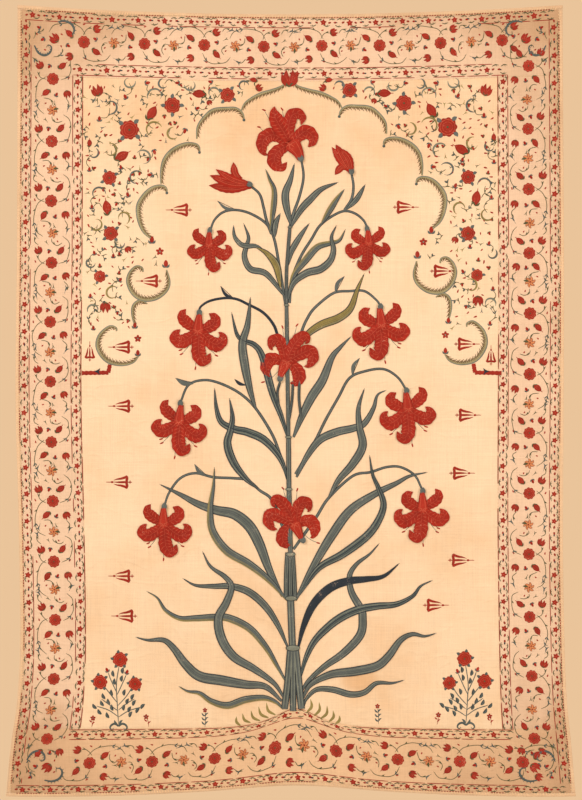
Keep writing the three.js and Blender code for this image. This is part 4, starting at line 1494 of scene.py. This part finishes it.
class HANGING_OT_guards(bpy.types.Operator):
    """Stitch the narrow bands on both sides of the border"""

    bl_idname = "hanging.guards"
    bl_label = "Guard bands"

    def execute(self, context):
        threads = Threads("guard", 71, plan=True)
        for start, end, wide, pitch in GUARDS:
            start, length, way, left = plan_run(start, end)
            turn = math.degrees(math.atan2(way[1], way[0]))
            count = int(round(length / pitch))
            pitch = length / count
            for k in range(count):
                for share, draw in GUARD_UNIT:
                    at = (k + share) * pitch
                    sway = threads.random.uniform(-0.7, 0.7, 2)
                    threads.stand(start + way * at + sway, turn + threads.random.uniform(-9, 9),
                                  threads.random.uniform(0.92, 1.08), 1 if k % 2 else -1)
                    draw(threads, wide)
            threads.stand()
            for hand in (1, -1):
                side = left * hand * (wide / 2 + 0.4)
                at = 0.0
                while at < length - 6:
                    stop = min(length, at + threads.random.uniform(*GUARD_DASH))
                    if threads.random.random() < GUARD_KEPT:
                        course = [start + way * reach + side for reach in (at, (at + stop) / 2, stop)]
                        threads.line("brick", course, 1.4, 0.3)
                    at = stop + threads.random.uniform(1, 5)
        threads.sew()
        return {"FINISHED"}


# Spandrels: motifs beside the arch. Rosettes: place in squares and radius in mm, left then right
LEFT_ROSETTES = [
    (-16.0, 11.6, 16), (-11.7, 9.15, 13.6), (-6.2, 8.1, 12), (-18.0, 16.4, 11.7), (-17.85, 21.95, 12),
    (-18.95, 26.25, 10),
]
RIGHT_ROSETTES = [
    (15.8, 11.3, 16), (11.45, 8.9, 13.6), (6.0, 7.6, 12), (17.85, 16.3, 11.7), (17.85, 21.95, 12),
    (18.75, 26.1, 10),
]
# Other motifs of the left spandrel, which the right one mirrors: kind, place in squares, turn, size in mm
SPANDREL_MOTIFS = [
    ("fan", -19.25, 7.6, 20, 19), ("fan", -18.4, 29.4, 180, 17), ("fruit", -13.75, 9.9, -30, 25),
    ("fruit", -9.05, 8.0, 90, 22), ("fruit", -16.75, 14.2, -60, 25), ("fruit", -18.25, 19.35, 10, 24),
    ("bud", -16.4, 8.3, 30, 8), ("bud", -19.0, 10.5, 0, 8), ("bud", -10.45, 11.7, 160, 8),
    ("bud", -13.5, 13.8, 200, 8), ("bud", -13.95, 16.1, 90, 8), ("bud", -16.15, 18.1, 20, 8),
    ("darkbud", -16.85, 15.35, 10, 7), ("bud", -19.75, 19.3, 0, 7), ("darkbud", -11.2, 6.9, 90, 7),
    ("bud", -20.0, 15.55, 0, 7), ("darkbud", -9.2, 9.45, -60, 7), ("bud", -19.5, 23.9, 15, 7),
    ("bud", -16.9, 26.6, -30, 7), ("darkbud", -17.6, 24.2, 0, 7), ("bud", -14.2, 6.9, -80, 8),
    ("fan", -3.0, 7.35, -60, 12), ("fruit", -3.6, 6.6, 80, 12), ("bud", -7.9, 6.8, 70, 7),
    ("fruit", -20.0, 12.9, 0, 12), ("fan", -16.1, 23.6, 200, 11), ("bud", -19.9, 28.2, 0, 7),
    ("darkbud", -17.2, 29.9, 180, 6), ("bud", -19.6, 31.4, 0, 7), ("fan", -8.0, 8.9, 200, 9),
]
# The threads of the curls, taken in turn by radius
SCROLLS = ("sage", "olive", "green")
# Curls round the fruits: middle in squares, radius in mm, start in degrees, turns
SPANDREL_CURLS = [
    (-13.4, 8.2, 12, 200, -0.8), (-13.6, 11.6, 13, 20, 0.8), (-11.6, 12.0, 10, 90, 0.8),
    (-14.6, 14.4, 12, 140, -0.8), (-19.1, 18.0, 11, 0, 0.8), (-9.9, 7.1, 9, 180, 0.8),
    (-7.6, 7.9, 9, 0, 0.8), (-17.9, 13.6, 10, 100, -0.9), (-15.3, 16.4, 11, 40, 0.9),
    (-19.3, 21.0, 10, 200, 0.9), (-16.6, 20.4, 10, 300, 0.9), (-19.6, 13.9, 8, 60, -0.8),
    (-17.9, 9.3, 11, 250, 0.9), (-16.0, 6.8, 9, 10, -0.9), (-19.8, 24.9, 8, 130, 0.8),
    (-17.7, 27.9, 10, 60, 0.9), (-4.6, 7.2, 8, 10, 0.9), (-19.6, 29.6, 9, 200, -0.8),
    (-17.0, 22.9, 8, 0, -0.8), (-12.6, 7.0, 8, 100, 0.8),
]
# Where the leaves of each rosette stand, in degrees
ROSETTE_LEAF_TURNS = [
    (45, 135, 225, 315), (0, 90, 180, 270), (45, 135, 225, 315), (20, 110, 200, 290), (45, 135, 225, 315),
    (0, 120, 240),
]
# Top corner of the right spandrel, and the outer foot of the arch in squares
SPANDREL_CORNER = (351.0, -116.0)
ARCH_OUTER_FOOT = (-20.6, 35.7)
# Small things that fill a spandrel: tries, the area that they are spread over (across, up), how close they
# may come to each other, to the seams, the arch and the pendants, and the shares up to which they are
# dashes, curls and sprigs
FILL_TRIES = 1500
FILL_AREA = ((0, 350), (-600, -120))
FILL_CLEAR = 7.4
SEAM_CLEAR = 5
ARCH_CLEAR = 9.5
PENDANT_CLEAR = 30
FILL_SHARES = (0.42, 0.62, 0.88)
# Vines between neighbours: how far apart they may stand, and the least gap between their edges
LINK_FAR = 56
LINK_GAP = 3


def inside(outline, spots):
    """Which spots lie inside a closed outline."""
    x, y = spots[:, 0], spots[:, 1]
    crossings = np.zeros(len(spots), int)
    for (x0, y0), (x1, y1) in zip(outline, np.roll(outline, -1, axis=0)):
        rises = (y0 > y) != (y1 > y)
        at = x0 + (y - y0) / (y1 - y0 + 1e-9) * (x1 - x0)
        crossings += rises & (x < at)
    return crossings % 2 == 1


def link_motifs(threads, taken):
    """A bowed vine from each motif to its nearest neighbour, where there is room for one."""
    spots = np.array([each[:2] for each in taken])
    reach = np.array([each[2] for each in taken])
    threads.stand()
    done = set()
    for i, spot in enumerate(spots):
        away = np.hypot(*(spots - spot).T)
        j = np.argsort(away)[1]
        if (j, i) in done or away[j] > LINK_FAR or away[j] < reach[i] + reach[j] + LINK_GAP:
            continue
        done.add((i, j))
        way = (spots[j] - spot) / away[j]
        start, end = spot + way * reach[i] * 0.8, spots[j] - way * reach[j] * 0.8
        bow = left_of(way) * away[j] * threads.random.choice((-0.26, 0.26))
        bend = [start, start * 0.7 + end * 0.3 + bow, start * 0.3 + end * 0.7 + bow * 0.8, end]
        stitch_vine(threads, bend, leaves=(0.25, 0.5, 0.75) if away[j] > 30 else (0.5,))


def stitch_filler(threads, spot):
    """One small thing of a flowery ground: a dash, a leafy curl, a sprig or a bud."""
    threads.stand(spot, threads.random.uniform(0, 360), threads.random.uniform(0.85, 1.15))
    pick = threads.random.random()
    dashes, curls, sprigs = FILL_SHARES
    if pick < dashes:
        stitch_dash(threads, 5.6)
    elif pick < curls:
        stitch_vine(threads, curl(5.5, 0, 0.6, 9), leaves=(0.3, 0.7))
    elif pick < sprigs:
        stitch_sprig(threads, 7.0, ("vine", "slate", "olive")[int(pick * 100) % 3])
    else:
        stitch_bud(threads, "madder", 6, leaf="vine")


class HANGING_OT_spandrels(bpy.types.Operator):
    """Stitch the rosettes, fruits, curls and small flowers beside the arch"""

    bl_idname = "hanging.spandrels"
    bl_label = "Spandrels"

    def execute(self, context):
        threads = Threads("spandrel", 89)
        arch = [point for points, _ in ARCH_LOBES for point in points]
        for side, rosettes in ((-1, LEFT_ROSETTES), (1, RIGHT_ROSETTES)):
            taken = []
            for (x, down, radius), turns in zip(rosettes, ROSETTE_LEAF_TURNS):
                spot = squares((x, down))[0]
                threads.stand(spot, threads.random.uniform(-10, 10))
                for turn in turns:
                    way = toward(turn) * radius
                    short_leaf(threads, "green", way * 0.85, way * 1.5, radius * 0.5, 0.15)
                stitch_rosette(threads, radius)
                taken.append((*spot, radius + 4))
            for kind, x, down, turn, size in SPANDREL_MOTIFS:
                spot = arch_half([(x, down)], side)[0]
                threads.stand(spot, turn * -side, 1, -side)
                MOTIFS[kind](threads, size)
                taken.append((*spot, size * 0.45))
            for x, down, radius, start, turns in SPANDREL_CURLS:
                spot = arch_half([(x, down)], side)[0]
                threads.stand(spot, 0, 1, -side)
                stitch_scroll(threads, curl(radius * 1.15, start, turns * 0.8), SCROLLS[radius % 3])
                taken.append((*spot, 2.5))
            link_motifs(threads, taken)
            for x, down, _ in PENDANTS:
                spot = squares((x, down))[0]
                if spot[0] * side > 0:
                    taken.append((*spot, PENDANT_CLEAR))
            line = arch_half(arch, side)
            corner = np.array(SPANDREL_CORNER) * (side, 1)
            foot = arch_half([ARCH_OUTER_FOOT], side)[0]
            outline = np.vstack([(0, corner[1]), line, foot, (corner[0], foot[1]), corner])
            across, up = (threads.random.uniform(*limits, FILL_TRIES) for limits in FILL_AREA)
            tries = np.column_stack([across * side, up])
            fine, _ = smooth_line(line, 6.0)
            for spot in tries[inside(outline, tries)]:
                clear = [math.hypot(spot[0] - x, spot[1] - z) - reach for x, z, reach in taken]
                from_edge = min(abs(spot[0] - corner[0]), abs(spot[1] - corner[1]))
                if min(clear) < FILL_CLEAR * 0.5 or from_edge < SEAM_CLEAR:
                    continue
                if np.min(np.hypot(*(fine - spot).T)) < ARCH_CLEAR:
                    continue
                stitch_filler(threads, spot)
                taken.append((*spot, FILL_CLEAR * 0.5))
        threads.stand()
        threads.sew()
        return {"FINISHED"}


# The small flowering plants at the foot of the field: the foot of each in squares, and mirror
PLANT_FEET = [((-17.1, 71.1), 1), ((17.65, 71.0), -1)]
# Their stems, flowers, buds and leaflets in squares from the foot, with the size of flowers and buds in mm
PLANT_STEMS = [
    [(0, 0), (-0.15, -2.5), (-0.2, -4.2), (0.1, -6.2)], [(-0.1, -2.2), (-0.9, -3.2), (-1.7, -4.2)],
    [(-0.1, -1.9), (0.8, -2.9), (1.5, -4.0)], [(-0.15, -3.2), (-0.8, -4.6), (-1.05, -5.3)],
    [(-0.15, -3.0), (0.5, -4.4), (0.8, -5.1)], [(0, -0.8), (-1.0, -1.5), (-2.2, -1.9)],
    [(0, -0.8), (1.0, -1.4), (2.3, -1.8)], [(-0.05, -1.4), (-1.0, -2.1), (-1.7, -2.6)],
    [(0, -1.5), (0.9, -2.2), (1.6, -2.6)],
]
PLANT_FLOWERS = [(0.15, -6.55, 12.4), (-1.85, -4.3, 12), (1.65, -4.1, 11)]
PLANT_BUDS = [(-1.15, -5.5, 7), (0.85, -5.3, 7)]
PLANT_LEAFLETS = [
    (-1.45, -2.85), (-0.65, -3.2), (-0.95, -2.3), (-1.6, -2.15), (-2.35, -1.85), (-0.6, -1.7),
    (-1.85, -1.3), (-1.05, -0.95), (0.6, -3.2), (1.4, -2.75), (0.9, -2.3), (1.55, -2.15), (0.55, -1.7),
    (2.4, -1.8), (1.9, -1.4), (1.2, -1.0), (1.1, -1.5), (-0.35, -4.3), (0.35, -4.6), (-0.5, -5.1),
    (0.45, -5.4),
]
# Red sprigs and tiny plants: foot and flower in squares
RED_SPRIGS = [
    ((-19.8, 71.3), (-19.65, 70.4)), ((-14.1, 71.3), (-14.35, 70.3)), ((14.75, 71.1), (14.9, 70.1)),
    ((20.15, 71.1), (20.0, 70.2)),
]
TINY_PLANTS = [((-8.45, 71.3), (-8.45, 69.6)), ((8.9, 71.0), (8.8, 69.2))]


class HANGING_OT_small_plants(bpy.types.Operator):
    """Stitch the two small plants and the sprigs at the foot of the field"""

    bl_idname = "hanging.small_plants"
    bl_label = "Small plants"

    def execute(self, context):
        threads = Threads("foot", 97)
        for foot, mirror in PLANT_FEET:
            foot = squares(foot)[0]
            base = np.array([mirror, 1.0])

            def stand_at(x, down, turn=0.0):
                threads.stand(foot + squares((x, down))[0] * base, turn * mirror, 1, mirror)

            stand_at(0, 0)
            for points in PLANT_STEMS:
                threads.line("slate", squares(points), 2.0, 0.1)
            for x, down in PLANT_LEAFLETS:
                stand_at(x, down, math.degrees(math.atan2(x, 2.4 + abs(down) * 0.2)) * -1)
                short_leaf(threads, "slate", (0, -4.2), (0, 6.4), 5.2, 0.3)
                threads.line("navy", [(0, -3.6), (0.5, 1), (0, 5.4)], 1.3, 0.7)
            for x, down, radius in PLANT_FLOWERS:
                stand_at(x, down)
                for turn in (35, 100, 170, 235, 300):
                    way = toward(turn) * radius
                    short_leaf(threads, "slate", way * 0.8, way * 1.35, radius * 0.42, 0.2)
                stitch_rosette(threads, radius, "red")
            for x, down, size in PLANT_BUDS:
                stand_at(x, down, -x * 24)
                stitch_bud(threads, "red", size, 0.4)
            stand_at(0, 0)
            for hand in (1, -1):
                scroll = np.array([(0, -2), (6, 2), (12, 0), (14.5, -5), (11, -8), (8.5, -5)]) * (hand, 1)
                threads.ribbon("slate", scroll, leaf_half(3.4, 0.7, 0.3), 0.55, 0.2, step=1.8)
                short_leaf(threads, "slate", (hand * 1.5, 0), (hand * 7, 8.5), 3.6, 0.25)
        for foot, flower in RED_SPRIGS:
            foot, flower = squares([foot, flower])
            threads.stand()
            threads.line("brick", straight(foot, flower, (1.5, 0)), 1.3, 0.1)
            for share, hand in ((0.3, 1), (0.55, -1)):
                here = foot + (flower - foot) * share
                short_leaf(threads, "madder", here, here + (hand * 5, 4), 2.0, 0.2)
            threads.stand(flower)
            stitch_floret(threads, 9)
        for foot, flower in TINY_PLANTS:
            foot, flower = squares([foot, flower])
            threads.stand()
            threads.line("dark", straight(foot, flower, (0.8, 0)), 1.3, 0.1)
            for share in (0.15, 0.4, 0.65):
                here = foot + (flower - foot) * share
                for hand in (1, -1):
                    short_leaf(threads, "slate", here, here + (hand * 5.5, 5.5), 2.4, 0.2)
            threads.stand(flower)
            stitch_floret(threads, 8)
        threads.stand()
        threads.sew()
        return {"FINISHED"}


# Pitch of the small stitches along the seams
SEAM_PITCH = 6.0


class HANGING_OT_overcasting(bpy.types.Operator):
    """Overcast the edging and sew the seams with small slanted stitches"""

    bl_idname = "hanging.overcasting"
    bl_label = "Overcasting"

    def execute(self, context):
        threads = Threads("sewing", 101, plan=True)
        inner = HALF_WIDTH - EDGING_WIDE
        half = FIELD_HALF_WIDTH
        foot = LENGTH - EDGING_WIDE
        edges = [
            ((-inner, EDGING_WIDE), (inner, EDGING_WIDE), -1), ((-inner, foot), (inner, foot), 1),
            ((-inner, EDGING_WIDE), (-inner, foot), 1), ((inner, EDGING_WIDE), (inner, foot), -1),
        ]
        for start, end, out in edges:
            start, length, way, left = plan_run(start, end)
            side = left * -out
            for at in np.arange(STITCH_PITCH, length - STITCH_PITCH, STITCH_PITCH):
                foot_at = start + way * (at + threads.random.uniform(-0.4, 0.4)) - side * 1.5
                tip = foot_at + side * 4.6 + way * 1.3
                threads.narrow("cream", straight(foot_at, tip), 0.5, 0.5, 0.85, 1.6)
        top, bottom = TOP_STRIP_DEEP, FIELD_BOTTOM
        seams = [
            ((-inner, top), (inner, top)), ((-inner, bottom), (inner, bottom)),
            ((-half, top), (-half, bottom)), ((half, top), (half, bottom)),
        ]
        for start, end in seams:
            start, length, way, side = plan_run(start, end)
            for at in np.arange(SEAM_PITCH / 2, length - SEAM_PITCH / 2, SEAM_PITCH):
                here = start + way * at
                course = [here - side * 1.3, here, here + side * 1.3 + way * 0.8]
                threads.narrow("cream", course, 0.36, 0.4, -0.15, 1.2)
        threads.sew()
        return {"FINISHED"}


# The middle of the picture: x and z
VIEW_CENTRE = (2.55, -656)
# The floor: half its side and its height in metres, and its colour
FLOOR_HALF = 1.7
FLOOR_AT = -1.95
FLOOR_COLOUR = (0.62, 0.60, 0.56, 1)
# Colour of the lights, then each light: name, place in metres, turn in degrees, side in metres, power
LAMP_COLOUR = (1.0, 0.985, 0.96)
LIGHTS = [
    ("key_light", (-2.1, -2.7, 1.3), (55, 0, -38), 1.8, 75),
    ("fill_light", (2.3, -2.6, -0.6), (84, 0, 42), 2.0, 38),
    ("back_light", (0.6, 2.8, 0.6), (-68, 0, 12), 2.2, 62),
]


class HANGING_OT_stage(bpy.types.Operator):
    """Set the camera, the floor and the soft lights"""

    bl_idname = "hanging.stage"
    bl_label = "Stage"

    def execute(self, context):
        scene = context.scene
        sizes = scene.hanging_sizes
        lens = bpy.data.cameras.new("camera")
        lens.sensor_width = 36
        lens.lens = lens.sensor_width * sizes.camera_away / sizes.view_height
        camera = bpy.data.objects.new("camera", lens)
        camera.location = (VIEW_CENTRE[0] * MM, -sizes.camera_away, VIEW_CENTRE[1] * MM)
        camera.rotation_euler = (math.radians(90), 0, 0)
        scene.collection.objects.link(camera)
        scene.camera = camera
        scene.view_settings.view_transform = "Standard"
        world = scene.world or bpy.data.worlds.new("studio")
        scene.world = world
        world.use_nodes = True
        background = world.node_tree.nodes["Background"]
        background.inputs["Color"].default_value = (*scene.hanging_colours.backdrop, 1)
        background.inputs["Strength"].default_value = 1.0
        for name, at, turn, size, power in LIGHTS:
            lamp = bpy.data.lights.new(name, "AREA")
            lamp.size = size
            lamp.energy = power
            lamp.color = LAMP_COLOUR
            holder = bpy.data.objects.new(name, lamp)
            holder.location = at
            holder.rotation_euler = [math.radians(each) for each in turn]
            scene.collection.objects.link(holder)
        mesh = bpy.data.meshes.new("floor")
        corners = [(x * FLOOR_HALF, y * FLOOR_HALF, 0) for x, y in ((-1, -1), (1, -1), (1, 1), (-1, 1))]
        mesh.from_pydata(corners, [], [(0, 1, 2, 3)])
        floor = bpy.data.objects.new("floor", mesh)
        floor.location.z = FLOOR_AT
        finish = Finish("pale_floor", Roughness=0.9, Base_Color=FLOOR_COLOUR)
        mesh.materials.append(finish.material)
        scene.collection.objects.link(floor)
        return {"FINISHED"}


class HANGING_PT_panel(bpy.types.Panel):
    """The hanging's sizes, colours and pieces"""

    bl_idname = "HANGING_PT_panel"
    bl_label = "Wall hanging"
    bl_space_type = "VIEW_3D"
    bl_region_type = "UI"
    bl_category = "Hanging"

    def draw(self, context):
        for group in (context.scene.hanging_sizes, context.scene.hanging_colours):
            for name in group.__annotations__:
                self.layout.prop(group, name)
        for operator in OPERATORS:
            self.layout.operator(operator.bl_idname)


# The operators, in the order in which they run
OPERATORS = (
    HANGING_OT_stage,
    HANGING_OT_cloth,
    HANGING_OT_edging,
    HANGING_OT_overcasting,
    HANGING_OT_guards,
    HANGING_OT_borders,
    HANGING_OT_arch,
    HANGING_OT_spandrels,
    HANGING_OT_plant,
    HANGING_OT_blooms,
    HANGING_OT_small_plants,
)
CLASSES = (HangingColours, HangingSizes, *OPERATORS, HANGING_PT_panel)


def register():
    for each in CLASSES:
        bpy.utils.register_class(each)
    bpy.types.Scene.hanging_colours = bpy.props.PointerProperty(type=HangingColours)
    bpy.types.Scene.hanging_sizes = bpy.props.PointerProperty(type=HangingSizes)


def unregister():
    del bpy.types.Scene.hanging_colours
    del bpy.types.Scene.hanging_sizes
    for each in reversed(CLASSES):
        bpy.utils.unregister_class(each)


def main():
    register()
    for operator in OPERATORS:
        group, name = operator.bl_idname.split(".")
        getattr(getattr(bpy.ops, group), name)()


if __name__ == "__main__":
    main()
